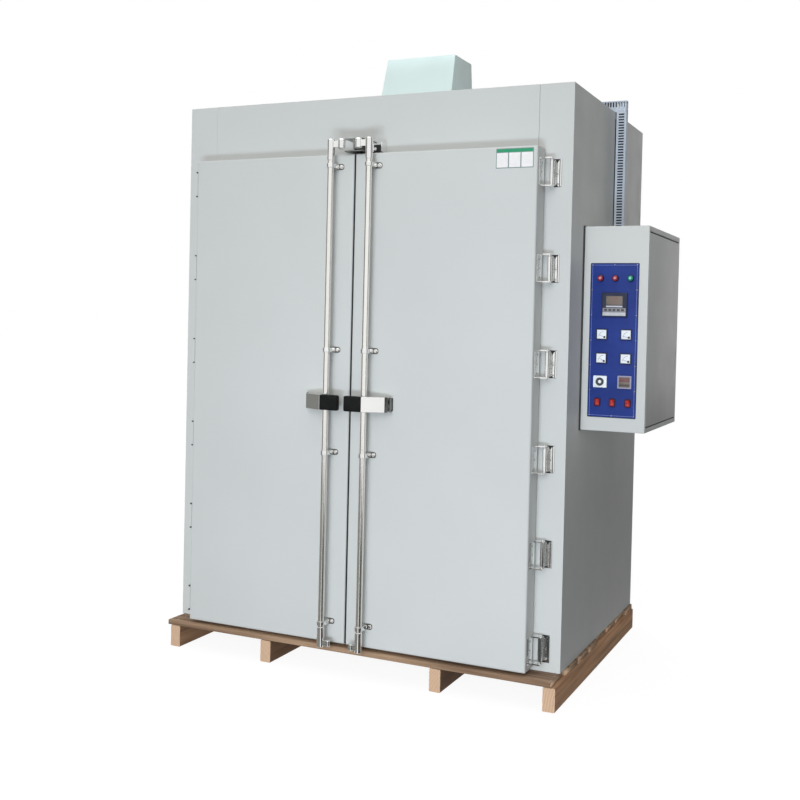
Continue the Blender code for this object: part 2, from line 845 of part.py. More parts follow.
def instruments(frame):
    panel = block(
        "instrument_panel",
        (half_width + panel_left, panel_face, body_low + panel_low),
        (half_width + panel_left + panel_width, box_face - seam, body_low + panel_low + panel_height),
    )
    finish(panel, blue, frame)
    controller = on_panel("temperature_controller", controller_middle, controller_size, 0.003)
    finish(controller, black, frame)
    places = [(column, row) for row in meter_rows for column in meter_columns]
    for number, place in enumerate(places, 1):
        finish(on_panel(f"meter_{number}", place, meter_size), white, frame)
    finish(on_panel("timer", timer_middle, timer_size), grey, frame)
    plate = realised(on_panel("buzzer", buzzer_middle, buzzer_size))
    ring = rod("ring", (0.0, 0.0), buzzer_ring_radius, buzzer_size[2] - 0.001, buzzer_size[2] + buzzer_ring_proud)
    finish(fused("buzzer", plate, [facing_front(ring, buzzer_middle)]), white, frame)
    for number, column in enumerate(lamp_columns, 1):
        profile = [
            (0.0, lamp_proud),
            (lamp_lens_radius * 0.6, lamp_proud - 0.0008),
            (lamp_lens_radius * 0.9, lamp_proud - 0.0025),
            (lamp_lens_radius, lamp_proud * 0.5),
            (lamp_radius - 0.001, lamp_proud * 0.45),
            (lamp_radius, lamp_proud * 0.35),
            (lamp_radius, 0.0),
            (0.0, 0.0),
        ]
        lamp = turned(f"lamp_{number}", profile, (0.0, 0.0), 2 * arc_steps)
        facing_front(lamp, (column, lamp_level))
        finish(lamp, green if number == len(lamp_columns) else red, frame)
    for number, column in enumerate(switch_columns, 1):
        bezel = realised(on_panel(f"rocker_switch_{number}", (column, switch_level), switch_size, 0.001))
        half = rocker_size[1] / 2
        wedge = [
            (-half, switch_size[2] - 0.001),
            (half, switch_size[2] - 0.001),
            (half, switch_size[2] + rocker_proud),
            (0.0, switch_size[2] + rocker_proud * 0.35),
            (-half, switch_size[2] + rocker_proud * 0.2),
        ]
        upright = Matrix.Rotation(math.radians(90), 4, "Y") @ Matrix.Rotation(math.radians(90), 4, "Z")
        rocker = prism("rocker", wedge, -rocker_size[0] / 2, rocker_size[0] / 2, turn=upright)
        facing_front(rocker, (column, switch_level))
        finish(fused(bezel.name, bezel, [rocker]), red, frame)


def trunking(frame):
    """Slotted wiring trunking, up the side from the control box and in over the roof to the housing."""
    front = trunk_set_back
    back = trunk_set_back + trunk_thick
    wall = half_width + seam
    cover = wall + trunk_width
    low = body_low + box_low + box_height + seam
    riser = block("trunking_riser", (wall, front, low), (cover, back, body_high))
    count = int((body_high - low - 2 * slot_from_end) / slot_pitch) + 1
    levels = [body_high - slot_from_end - slot_pitch * i for i in range(count)]
    slots = blocks("slots", [
        (
            (wall + slot_from_base, front - 0.001, level - slot_width / 2),
            (cover - slot_to_cover, back + 0.001, level + slot_width / 2),
        )
        for level in levels
    ])
    finish(fused("trunking_riser", riser, [], [slots]), pale_plastic, frame)

    near = hood_base[0] / 2 + seam
    base = body_high + seam
    lid = body_high + trunk_over_roof
    roof_run = block("trunking_roof_run", (near, front, base), (cover, back, lid))
    count = int((cover - near - 2 * slot_from_end) / slot_pitch) + 1
    places = [cover - slot_from_end - slot_pitch * i for i in range(count)]
    slots = blocks("slots", [
        (
            (place - slot_width / 2, front - 0.001, lid - slot_to_lid - slot_length_on_roof),
            (place + slot_width / 2, back + 0.001, lid - slot_to_lid),
        )
        for place in places
    ])
    finish(fused("trunking_roof_run", roof_run, [], [slots]), pale_plastic, frame)


def roof_housing(frame):
    """The tapered sheet housing on the roof."""
    low = body_high + seam
    hood = block(
        "roof_housing",
        (-hood_base[0] / 2, hood_front, low),
        (hood_base[0] / 2, hood_front + hood_base[1], low + hood_height),
    )
    for vertex in hood.data.vertices:
        if vertex.co.z > low + hood_height / 2:
            vertex.co.x *= hood_top[0] / hood_base[0]
            at_front = vertex.co.y < hood_front + hood_base[1] / 2
            vertex.co.y = hood_top_front if at_front else hood_top_front + hood_top[1]
    finish(hood, mint, frame)


clear_scene()
paint = material("warm_grey_paint", (0.56, 0.57, 0.55), 0.45)
stainless = material("brushed_stainless", (0.55, 0.55, 0.54), 0.35, 1.0)
chrome = material("bright_chrome", (0.72, 0.72, 0.72), 0.12, 1.0)
black = material("black_plastic", (0.012, 0.012, 0.012), 0.4)
silicone = material("dark_silicone", (0.05, 0.05, 0.05), 0.7)
wood = material("pallet_wood", (0.30, 0.17, 0.10), 0.8)
blue = material("blue_panel_paint", (0.02, 0.05, 0.27), 0.35)
white = material("white_plastic", (0.75, 0.75, 0.74), 0.4)
grey = material("grey_plastic", (0.25, 0.25, 0.25), 0.4)
red = material("red_plastic", (0.60, 0.02, 0.02), 0.3)
green = material("green_plastic", (0.02, 0.40, 0.06), 0.3)
pale_plastic = material("pale_duct_plastic", (0.45, 0.55, 0.62), 0.5)
mint = material("mint_paint", (0.62, 0.80, 0.78), 0.45)

frame = pivot("oven_frame", (0.0, 0.0, 0.0))
pallet(frame)
body(frame)
chamber_liner(frame)
gasket(frame)
for side, tag in ((-1, "left"), (1, "right")):
    hinges(side, tag, frame)
    hinge = pivot(f"{tag}_door_axis", (side * pin_x, pin_y, body_low + body_height / 2))
    bearing = pivot(f"{tag}_bar_axis", (side * bar_place, bar_y, handle_z))
    hand = pivot(f"{tag}_handle_axis", (side * lever_pivot[0], door_face - lever_pivot[1], handle_z))
    door(side, tag, hinge)
    lever_bracket(side, tag, hinge)
    lock_bar(side, tag, bearing)
    handle(side, tag, hand)
    hinge.parent = frame
    hinge.location = pivots[hinge.name] - pivots[frame.name]
    for axis in (bearing, hand):
        axis.parent = hinge
        axis.location = pivots[axis.name] - pivots[hinge.name]
keeper(frame)
header_bracket(frame)
control_box(frame)
instruments(frame)
trunking(frame)
roof_housing(frame)

# The middle of the outer box's floor goes to the world's origin.
outer_right = box_x + box_width
outer_front = door_face - grip_front
outer_back = body_depth + deck_over_back
frame.location = (-(deck_left + outer_right) / 2, -(outer_front + outer_back) / 2, 0.0)
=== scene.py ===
# %% [markdown]
# Dressing a two-door industrial oven
#
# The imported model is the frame: it says where every piece of the oven is and which body it moves with. This
# lesson puts a finished surface on each of those pieces. Almost every piece is worked out with numpy, as
# rings of points that are joined into a skin, because folded sheet, turned bar and moulded cases are all
# outlines that are carried along a line.

# %% Load the frame and keep its box
import json
import math

import bmesh
import bpy
import numpy as np
from mathutils import Matrix, Vector


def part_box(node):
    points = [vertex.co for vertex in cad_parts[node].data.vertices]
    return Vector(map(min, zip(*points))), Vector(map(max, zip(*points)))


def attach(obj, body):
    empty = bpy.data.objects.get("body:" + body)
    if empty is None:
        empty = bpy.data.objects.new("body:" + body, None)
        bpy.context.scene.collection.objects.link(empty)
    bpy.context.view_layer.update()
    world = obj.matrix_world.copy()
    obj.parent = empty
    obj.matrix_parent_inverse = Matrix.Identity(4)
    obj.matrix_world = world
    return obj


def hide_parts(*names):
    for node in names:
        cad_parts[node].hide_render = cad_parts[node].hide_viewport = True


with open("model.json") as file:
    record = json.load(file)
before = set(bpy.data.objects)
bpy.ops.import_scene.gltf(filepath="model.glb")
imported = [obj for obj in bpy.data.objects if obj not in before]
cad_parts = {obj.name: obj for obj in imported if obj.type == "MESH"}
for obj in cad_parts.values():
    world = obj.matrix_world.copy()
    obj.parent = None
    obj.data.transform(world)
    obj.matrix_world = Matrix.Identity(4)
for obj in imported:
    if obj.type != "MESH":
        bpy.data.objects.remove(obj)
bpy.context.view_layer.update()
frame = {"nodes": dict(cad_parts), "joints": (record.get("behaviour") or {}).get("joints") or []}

# %% [markdown]
# The oven's own axes are easier to think in than the world's: x = 0 where the two doors meet, y = 0 on the
# body's front face and z = 0 on the floor. The right half can then be drawn once and mirrored. Every size
# that the frame knows is read from it, so that nothing has to be fitted by eye.

# %% The oven's axes, and what the frame measures
middle_x = (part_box("wall_left")[0].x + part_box("wall_right")[1].x) / 2
origin = np.array([middle_x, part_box("wall_right")[0].y, 0.0])
sides = ((-1, "left"), (1, "right"))


def box(node):
    """The two corners of a node of the frame, in the oven's axes."""
    low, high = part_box(node)
    return np.array(low) - origin, np.array(high) - origin


axis_of = {joint["name"]: np.array(joint["pos_m"]) - origin for joint in frame["joints"]}
pin = axis_of["right_door_hinge"]
bar = axis_of["right_bar_turn"]
hand = axis_of["right_handle_pivot"]
seam = 0.0003
half_width = box("wall_right")[1][0]
body_low, body_high = box("wall_right")[0][2], box("wall_right")[1][2]
jamb = box("wall_right")[0][0]
door_face = box("right_handle_bracket")[1][1] + seam
door_back = box("right_door")[1][1]
door_low, door_high = box("left_door")[0][2], box("left_door")[1][2]
door_to_pin = 0.0335
door_side = pin[0] - door_to_pin
print("body", round(2 * half_width, 3), "wide, doors' face at", round(door_face, 3))

# %% [markdown]
# A shape is a pair: an array of points and a list of faces. The basic move is the skin: rings with the same
# number of points are stacked, and every point is joined to its neighbour on the ring and to the same point
# of the next ring. Listing faces by hand would be slower to write and easy to get wrong.

# %% Skins between rings of points
axis_order = {"x": [2, 0, 1], "y": [0, 2, 1], "z": [0, 1, 2]}


def skin(rings, closed_up=False):
    """Face (i, j) joins points j and j+1 of ring i to the same two points of ring i+1.

    The ends are closed with one flat face each, or the last ring joins the first where closed_up is true.
    """
    rings = np.asarray(rings, float)
    count, around = rings.shape[:2]
    index = np.arange(count * around).reshape(count, around)
    here = index if closed_up else index[:-1]
    there = np.roll(index, -1, axis=0)[: len(here)]
    quads = np.stack([here, np.roll(here, -1, 1), np.roll(there, -1, 1), there], axis=-1)
    ends = [] if closed_up else [index[0].tolist(), index[-1].tolist()]
    return rings.reshape(-1, 3), quads.reshape(-1, 4).tolist() + ends


def at_level(outline, level):
    """A flat outline as a ring at one height."""
    return np.column_stack([outline, np.full(len(outline), level)])


def prism(outline, low, high, axis="z"):
    """A flat outline carried from low to high along an axis."""
    outline = np.asarray(outline, float)
    rings = [at_level(outline, level) for level in (low, high)]
    return skin(np.array(rings)[..., axis_order[axis]])


def hollow(outside, inside, low, high):
    """A band with a hole: up its outside, in over its top, down its inside and back."""
    rings = [(outside, low), (outside, high), (inside, high), (inside, low)]
    return skin([at_level(ring, level) for ring, level in rings], closed_up=True)


def block(low, high):
    """A box between two corners, as a four-sided prism."""
    corners = [(low[0], low[1]), (high[0], low[1]), (high[0], high[1]), (low[0], high[1])]
    return prism(corners, low[2], high[2])


def lathe(profile, centre=(0.0, 0.0), around=32, axis="z"):
    """A profile of (radius, height) pairs: ring i is radius times (cos a, sin a), at its height."""
    profile = np.asarray(profile, float)
    angle = np.linspace(0, math.tau, around, endpoint=False)
    rings = np.empty((len(profile), around, 3))
    rings[..., 0] = centre[0] + profile[:, :1] * np.cos(angle)
    rings[..., 1] = centre[1] + profile[:, :1] * np.sin(angle)
    rings[..., 2] = profile[:, 1:]
    return skin(rings[..., axis_order[axis]])


print("a block has", len(block((0, 0, 0), (1, 1, 1))[0]), "points")

# %% [markdown]
# Sheet metal and moulded plastic have round corners. A rounded rectangle is four quarter arcs, and drawing
# it in by an inset keeps the arcs' middles where they are. A stack of such outlines makes plates, cases,
# bezels and doors, and a stack that closes on itself makes frames and seals.

# %% Rounded outlines and stacks of them
smallest_corner = 0.0002


def arc(centre, radius, start, end, steps=8):
    """Points centre + radius (cos a, sin a), with a running from start to end, in degrees."""
    angle = np.radians(np.linspace(start, end, steps + 1))
    return np.column_stack([centre[0] + radius * np.cos(angle), centre[1] + radius * np.sin(angle)])


def unit(vectors):
    return vectors / np.linalg.norm(vectors, axis=-1, keepdims=True)


def round_corners(outline, radius, steps=4):
    """Each corner becomes an arc that touches both sides, radius / tan(half its angle) from the corner."""
    corner = np.asarray(outline, float)
    back = unit(np.roll(corner, 1, axis=0) - corner)
    ahead = unit(np.roll(corner, -1, axis=0) - corner)
    half = np.arccos(np.clip((back * ahead).sum(axis=1), -1, 1))[:, None, None] / 2
    centre = corner[:, None] + unit(back + ahead)[:, None] * radius / np.sin(half)
    reach = radius / np.tan(half)
    start = corner[:, None] + back[:, None] * reach - centre
    end = corner[:, None] + ahead[:, None] * reach - centre
    turn = math.pi - 2 * half
    share = np.linspace(0, 1, steps)[None, :, None]
    swung = (start * np.sin((1 - share) * turn) + end * np.sin(share * turn)) / np.sin(turn)
    return (centre + swung).reshape(-1, 2)


def rounded_rectangle(low, high, corner, steps=4):
    """Four quarter arcs: a middle that lies `corner` inside each corner, plus corner times (cos a, sin a)."""
    corner = max(corner, smallest_corner)
    centre = (np.asarray(low, float) + high) / 2
    half = (np.asarray(high, float) - low) / 2 - corner
    quarter = np.linspace(0, math.pi / 2, steps)
    angle = (np.arange(4)[:, None] * math.pi / 2 + quarter).ravel()
    signs = np.repeat([(1, 1), (-1, 1), (-1, -1), (1, -1)], steps, axis=0)
    return centre + signs * half + corner * np.column_stack([np.cos(angle), np.sin(angle)])


def stack(low, high, corner, layers, closed_up=False, steps=4):
    """A rounded rectangle for each layer (inset, height), drawn in by the inset and lifted to the height."""
    rings = []
    for inset, height in layers:
        outline = rounded_rectangle(np.add(low, inset), np.subtract(high, inset), corner - inset, steps)
        rings.append(at_level(outline, height))
    return skin(rings, closed_up)


def edge_layers(base, top, radius, steps=4):
    """Layers of a plate with a round top edge: inset r (1 - cos a), height top - r (1 - sin a)."""
    angle = np.linspace(0, math.pi / 2, steps)
    round_part = np.column_stack([radius * (1 - np.cos(angle)), top - radius * (1 - np.sin(angle))])
    return [(0.0, base), *map(tuple, round_part)]


print("a rounded plate has", len(stack((0, 0), (1, 1), 0.1, edge_layers(0, 1, 0.05))[0]), "points")

# %% [markdown]
# Doors, covers and instruments are drawn flat, as if they lay on a table, and then stood up to face the
# front, the back or the right.

# %% Placing and repeating shapes
facings = {
    "up": np.eye(3),
    "front": np.array([[1, 0, 0], [0, 0, -1], [0, 1, 0]]),
    "back": np.array([[1, 0, 0], [0, 0, 1], [0, 1, 0]]),
    "right": np.array([[0, 0, 1], [1, 0, 0], [0, 1, 0]]),
}


def placed(shape, place=(0, 0, 0), facing="up"):
    """Turns a shape whose own z points out of the surface so that it faces a side, then moves it."""
    points, faces = shape
    return points @ facings[facing].T + np.asarray(place, float), faces


def joined(shapes):
    """Several shapes as one: each one's faces are shifted by the number of points before it."""
    starts = np.cumsum([0] + [len(points) for points, faces in shapes])
    faces = [[index + start for index in face] for start, shape in zip(starts, shapes) for face in shape[1]]
    return np.concatenate([shape[0] for shape in shapes]), faces


def copies(shape, places, facing="up"):
    return joined([placed(shape, place, facing) for place in places])


def stood(parts, place, facing="front"):
    """(shape, look) pairs drawn flat, stood up to face a side."""
    return [(placed(shape, place, facing), look) for shape, look in parts]


print("facings:", ", ".join(facings))

# %% [markdown]
# A piece is one or more shapes, each with its own look, on one object at the world's origin. A piece of the
# left half is drawn as its right twin and mirrored by side = -1. Mirroring turns a skin inside out, so the
# normals are recalculated. A Bevel modifier breaks the sharp edges: real sheet and bar always catch a thin
# line of light there.

# %% Making a piece
edge_angle = 40


def tidy_normals(mesh, merge=0.0):
    """Faces outward, after points closer together than the merge distance have become one."""
    bm = bmesh.new()
    bm.from_mesh(mesh)
    if merge:
        bmesh.ops.remove_doubles(bm, verts=bm.verts, dist=merge)
    bmesh.ops.recalc_face_normals(bm, faces=bm.faces)
    bm.to_mesh(mesh)
    bm.free()


def piece(name, parts, body, stands_for=(), edge=0.0, edge_steps=2, smooth=35, side=1):
    """Parts are (shape, look) pairs. The piece rides on a body and stands for the nodes that it covers."""
    points, faces = joined([shape for shape, look in parts])
    mesh = bpy.data.meshes.new(name)
    mesh.from_pydata((points * (side, 1, 1) + origin).tolist(), [], faces)
    looks = list(dict.fromkeys(look for shape, look in parts))
    for look in looks:
        mesh.materials.append(look)
    numbers = np.concatenate([np.full(len(shape[1]), looks.index(look)) for shape, look in parts])
    mesh.polygons.foreach_set("material_index", numbers.astype(np.int32))
    tidy_normals(mesh)
    mesh.shade_smooth()
    mesh.set_sharp_from_angle(angle=math.radians(smooth))
    obj = bpy.data.objects.new(name, mesh)
    bpy.context.scene.collection.objects.link(obj)
    if edge:
        rounding = obj.modifiers.new("broken_edges", "BEVEL")
        rounding.width = edge
        rounding.segments = edge_steps
        rounding.limit_method = "ANGLE"
        rounding.angle_limit = math.radians(edge_angle)
        rounding.harden_normals = True
    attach(obj, body)
    if stands_for:
        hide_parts(*stands_for)
    print(f"{name}: {len(points)} points")
    return obj


# %% [markdown]
# Looks. Every finish is a Principled surface. Its colour and its roughness drift a little with a soft
# noise, and a much finer noise gives the relief: orange peel on paint, grain on plastic. Squeezing the
# noise along one axis turns its specks into brushed lines. Object coordinates keep the patterns still on
# moving doors.

# %% A finish made of two noises
def scaled(colour, factor):
    return (*(min(1.0, value * factor) for value in colour), 1.0)


def feed(tree, node, inputs):
    """Fills a node's inputs: an output of another node is linked, anything else is the input's value."""
    for key, value in inputs.items():
        if isinstance(value, bpy.types.NodeSocket):
            tree.links.new(value, node.inputs[key])
        else:
            node.inputs[key].default_value = value
    return node


def new_node(tree, kind, inputs, **settings):
    """A new node. Its settings come before its inputs, because they decide which inputs it has."""
    node = tree.nodes.new("ShaderNode" + kind)
    for name, value in settings.items():
        setattr(node, name, value)
    return feed(tree, node, inputs)


def new_look(name):
    """A new material and its tree."""
    look = bpy.data.materials.new(name)
    look.use_nodes = True
    return look, look.node_tree


def surface(name, colour, roughness, metallic=0.0):
    """A new material, its tree, its shader and a Mapping node on the object's coordinates."""
    look, tree = new_look(name)
    look.diffuse_color = (*colour, 1.0)
    shader = feed(tree, tree.nodes["Principled BSDF"],
                  {"Base Color": (*colour, 1.0), "Roughness": roughness, "Metallic": metallic})
    place = new_node(tree, "TexCoord", {})
    return look, tree, shader, new_node(tree, "Mapping", {"Vector": place.outputs["Object"]})


def noise(tree, mapping, scale, detail=3.0):
    inputs = {"Scale": scale, "Detail": detail, "Vector": mapping.outputs["Vector"]}
    return new_node(tree, "TexNoise", inputs).outputs["Fac"]


def blend_of(tree, factor, first, second, blend_type="MIX"):
    """Two colours, mixed or multiplied."""
    inputs = {"A": first, "B": second, "Factor": factor}
    return new_node(tree, "Mix", inputs, data_type="RGBA", blend_type=blend_type).outputs["Result"]


def spread_of(tree, factor, low, high):
    """A noise's middle range stretched over low to high."""
    inputs = {"From Min": 0.3, "From Max": 0.7, "To Min": low, "To Max": high, "Value": factor}
    return new_node(tree, "MapRange", inputs).outputs["Result"]


def relief(tree, shader, height, depth):
    node = new_node(tree, "Bump", {"Strength": 1.0, "Distance": depth, "Height": height})
    feed(tree, shader, {"Normal": node.outputs["Normal"]})


def finish(name, colour, roughness, metallic=0.0, patch=3.0, drift=0.04, rough_drift=0.05, grain=700.0,
           depth=0.00003, squeeze=(1.0, 1.0, 1.0), specular=0.5):
    """Colour times 1 - drift to 1 + drift over patches of 1/patch metres, and relief of 1/grain metres."""
    look, tree, shader, mapping = surface(name, colour, roughness, metallic)
    feed(tree, mapping, {"Scale": squeeze})
    cloud = spread_of(tree, noise(tree, mapping, patch), 0.0, 1.0)
    tint = blend_of(tree, cloud, scaled(colour, 1 - drift), scaled(colour, 1 + drift))
    fine = noise(tree, mapping, grain, 2.0)
    rough = spread_of(tree, noise(tree, mapping, patch * 7), roughness - rough_drift, roughness + rough_drift)
    feed(tree, shader, {"Base Color": tint, "Roughness": rough, "Specular IOR Level": specular})
    relief(tree, shader, fine, depth)
    return look


paint = finish("warm_grey_paint", (0.55, 0.565, 0.55), 0.42, patch=1.6, drift=0.025, specular=0.35)
mint = finish("mint_paint", (0.74, 0.90, 0.88), 0.42, patch=4.0, drift=0.03)
blue = finish("blue_panel_paint", (0.020, 0.040, 0.200), 0.42, patch=9.0, drift=0.14, specular=0.22)
chrome = finish("bright_chrome", (0.84, 0.84, 0.83), 0.08, 1.0, patch=5.0, drift=0.04, rough_drift=0.03,
                depth=0.000002)
rod_steel = finish("rod_steel", (0.88, 0.865, 0.83), 0.17, 1.0, patch=3.0, drift=0.04, rough_drift=0.04,
                   depth=0.000002, squeeze=(1.0, 1.0, 0.1))
plated = finish("plated_hinge", (0.86, 0.87, 0.86), 0.16, 1.0, patch=30.0, drift=0.12, rough_drift=0.05,
                depth=0.0000008)
# A darker steel: painted shade and painted dark reflection on the guide feet, lever brackets and keeper
steel_with_painted_shade = finish("steel_with_painted_shade", (0.24, 0.25, 0.24), 0.22, 1.0, patch=14.0, drift=0.12, depth=0.000002)
zinc = finish("zinc_screws", (0.66, 0.66, 0.64), 0.25, 1.0, patch=60.0, drift=0.10)
stainless = finish("brushed_stainless", (0.55, 0.55, 0.54), 0.32, 1.0, patch=5.0, drift=0.06, grain=900.0,
                   squeeze=(1.0, 1.0, 0.03))
# Dark rubber for the doorway's seal; painted shade in the gap between the doors and beside the control box
dark_rubber_and_shade = finish("dark_rubber_and_painted_shade", (0.045, 0.045, 0.045), 0.72, patch=20.0, drift=0.2, grain=1500.0)
black = finish("black_plastic", (0.010, 0.010, 0.010), 0.45, patch=30.0, drift=0.2, grain=1800.0,
               specular=0.08)
# Dark for needles and caps; painted shade in sunk crosses, gaps, pockets, behind hinges and in the trunking
dark = finish("dark_and_painted_shade", (0.018, 0.018, 0.020), 0.6, patch=30.0, drift=0.2)
white = finish("white_plastic", (0.74, 0.78, 0.82), 0.30, patch=30.0, drift=0.02)
grey = finish("grey_plastic", (0.25, 0.25, 0.28), 0.35, patch=40.0, drift=0.06)
pale = finish("pale_strip", (0.48, 0.49, 0.52), 0.4, patch=40.0, drift=0.05)
duct_look = finish("pale_duct_plastic", (0.47, 0.53, 0.61), 0.42, patch=8.0, drift=0.05)
print(len(bpy.data.materials), "looks so far")

# %% [markdown]
# Lenses, displays and rockers are smooth and clear on top, so they carry a clear coat over a strong colour.
# Ink, which draws scales and marks, is a thin dark plastic.

# %% Lenses, rockers, displays and inks
def glossy(name, colour, glow=0.0, coat=0.6, drift=0.08):
    """A coloured plastic with a clear coat, and a little light of its own where a lamp is lit."""
    look = finish(name, colour, 0.22, patch=150.0, drift=drift, rough_drift=0.04)
    feed(look.node_tree, look.node_tree.nodes["Principled BSDF"], {
        "Coat Weight": coat,
        "Coat Roughness": 0.06,
        "Emission Color": (*colour, 1.0),
        "Emission Strength": glow,
    })
    return look


# The pink and pale green middles are the lamps' own glow and also a painted highlight
red = glossy("red_lens", (0.26, 0.020, 0.030), glow=0.05)
pink = glossy("pink_glow_and_highlight", (0.52, 0.22, 0.26), glow=0.10)
green = glossy("green_lens", (0.01, 0.20, 0.14), glow=0.05)
pale_green = glossy("pale_green_glow_and_highlight", (0.22, 0.62, 0.48), glow=0.10)
rocker_red = glossy("rocker_red", (0.38, 0.018, 0.018), coat=0.3)
rocker_mark = glossy("rocker_mark", (0.56, 0.13, 0.09), coat=0.3)
rocker_rim = finish("rocker_rim", (0.045, 0.008, 0.020), 0.4, patch=40.0, drift=0.2)
display = glossy("brown_display", (0.145, 0.115, 0.095))
digits = glossy("unlit_digits", (0.20, 0.085, 0.070))
key_plastic = finish("key_plastic", (0.060, 0.056, 0.056), 0.45, patch=40.0, drift=0.15)
# Navy for instrument cases; also painted shade along the blue panel's edges and round the meters' dials
navy_case_and_shade = finish("navy_case_and_shade", (0.018, 0.023, 0.050), 0.45, patch=40.0, drift=0.15)
ink = finish("dark_ink", (0.03, 0.03, 0.05), 0.5, patch=80.0)
lavender = finish("lavender_line", (0.26, 0.32, 0.62), 0.4, patch=60.0)
label_green = finish("label_green", (0.02, 0.27, 0.13), 0.35, patch=60.0)
label_edge = finish("label_edge", (0.20, 0.27, 0.25), 0.35, patch=60.0)
label_white = finish("label_white", (0.80, 0.78, 0.77), 0.35, patch=60.0)
print(len(bpy.data.materials), "looks so far")

# %% [markdown]
# Sawn wood has long fibres, so its noise is squeezed along the board. Each board carries an attribute,
# tone, that makes it a little lighter or darker than its neighbours. End grain shows rings instead: the
# distance from a pith that lies outside the board, bent by a noise.

# %% Wood with and without its end grain
def wood(name, squeeze, darkest, lightest):
    look, tree, shader, mapping = surface(name, lightest, 0.82)
    feed(tree, mapping, {"Scale": squeeze})
    streaks = spread_of(tree, noise(tree, mapping, 40.0, 6.0), 0.0, 1.0)
    fibres = noise(tree, mapping, 240.0, 4.0)
    tint = blend_of(tree, streaks, (*darkest, 1.0), (*lightest, 1.0))
    tone = new_node(tree, "Attribute", {}, attribute_name="tone")
    feed(tree, shader, {"Base Color": blend_of(tree, 1.0, tint, tone.outputs["Color"], "MULTIPLY")})
    relief(tree, shader, fibres, 0.0006)
    return look


def end_grain(name, darkest, lightest):
    """Rings: a sine of the distance from the pith, with a noise that bends them."""
    look, tree, shader, mapping = surface(name, lightest, 0.85)
    feed(tree, mapping, {"Location": (0.02, 0.0, 0.06)})
    inputs = {"Scale": 55.0, "Distortion": 2.5, "Detail": 2.0, "Vector": mapping.outputs["Vector"]}
    rings = new_node(tree, "TexWave", inputs, wave_type="RINGS", rings_direction="Y").outputs["Fac"]
    feed(tree, shader, {"Base Color": blend_of(tree, rings, (*darkest, 1.0), (*lightest, 1.0))})
    relief(tree, shader, rings, 0.0003)
    return look


deck_wood = wood("deck_wood", (0.05, 1.0, 1.0), (0.15, 0.085, 0.052), (0.54, 0.360, 0.230))
bearer_wood = wood("bearer_wood", (1.0, 0.05, 1.0), (0.28, 0.150, 0.082), (0.62, 0.360, 0.200))
cut_wood = end_grain("cut_wood", (0.42, 0.27, 0.17), (0.72, 0.50, 0.34))
print("wood looks:", deck_wood.name, bearer_wood.name, cut_wood.name)

# %% [markdown]
# The camera stands where the photographer stood, to the right of the oven at eye height, and leans a
# little, as a camera in the hand does. Its place and its turn come from the oven's own corners; the shift
# says how far the middle of the lens's view lies from the middle of the picture.

# %% Camera
camera_place = (1.8487, -4.3883, 1.4207)
camera_yaw, camera_pitch, camera_roll = 24.623, -1.086, 1.312
focal_pixels, picture_pixels, sensor_width = 1084.0, 800.0, 36.0
lens_middle = (404.0, 340.0)

camera = bpy.data.objects.new("camera", bpy.data.cameras.new("camera"))
camera.data.sensor_width = sensor_width
camera.data.lens = focal_pixels / picture_pixels * sensor_width
camera.data.shift_x = 0.5 - lens_middle[0] / picture_pixels
camera.data.shift_y = lens_middle[1] / picture_pixels - 0.5
camera.location = camera_place
turn = Matrix.Rotation(math.radians(camera_yaw), 4, "Z")
tilt = Matrix.Rotation(math.radians(90 + camera_pitch), 4, "X")
lean = Matrix.Rotation(math.radians(camera_roll), 4, "Z")
camera.rotation_euler = (turn @ tilt @ lean).to_euler()
bpy.context.scene.collection.objects.link(camera)
bpy.context.scene.camera = camera
print("lens", round(camera.data.lens, 2), "mm")

# %% [markdown]
# The pallet. Its deck is a row of sawn boards that lie across four bearers. A board is a rounded rectangle
# carried along its length, and a few sines with random phases make it waver by less than a millimetre. The
# ends are not cut in one line, and their corners are a little broken.

# %% Pallet boards
rng = np.random.default_rng(7)
board_count = 8
board_gap = 0.012
board_short = 0.020
waver = 0.0005
chip = 0.006


def plank(low, high, along, corner=0.003, stations=48):
    """Ring i is the cross-section at station i, moved by sines of the way along, and drawn in at the ends."""
    low, high = np.asarray(low, float), np.asarray(high, float)
    across = [axis for axis in range(3) if axis != along]
    outline = rounded_rectangle(low[across] + waver, high[across] - waver, corner, 3)
    way = np.linspace(0, 1, stations)
    way = np.sort(np.append(way, (0.004, 0.996)))
    phase = rng.uniform(0, math.tau, (2, 3))
    wave = sum(np.sin(np.outer(way, (3.0 * k + 2.0,)) * math.pi + phase[:, k]) / (k + 1) for k in range(3))
    rings = np.empty((len(way), len(outline), 3))
    rings[..., across] = outline[None] + wave[:, None] * waver / 2
    rings[..., along] = (low[along] + (high[along] - low[along]) * way)[:, None]
    slant = rng.uniform(-1, 1, 2) * chip / 2
    offset = (outline[:, 0] - outline[:, 0].mean()) / np.ptp(outline[:, 0])
    rings[0, :, along] += slant[0] * offset + chip / 2
    rings[-1, :, along] += slant[1] * offset - chip / 2
    return skin(rings)


def last_faces(obj, count, look):
    """The last faces of a mesh take another look."""
    obj.data.materials.append(look)
    for polygon in obj.data.polygons[-count:]:
        polygon.material_index = len(obj.data.materials) - 1


def with_tone(obj, tones, faces_each):
    """Writes the board's tone on each of its faces."""
    layer = obj.data.attributes.new("tone", "FLOAT_COLOR", "FACE")
    colours = np.ones((len(obj.data.polygons), 4))
    colours[:, :3] = np.repeat(tones, faces_each)[:, None]
    layer.data.foreach_set("color", colours.ravel().astype(np.float32))
    return obj


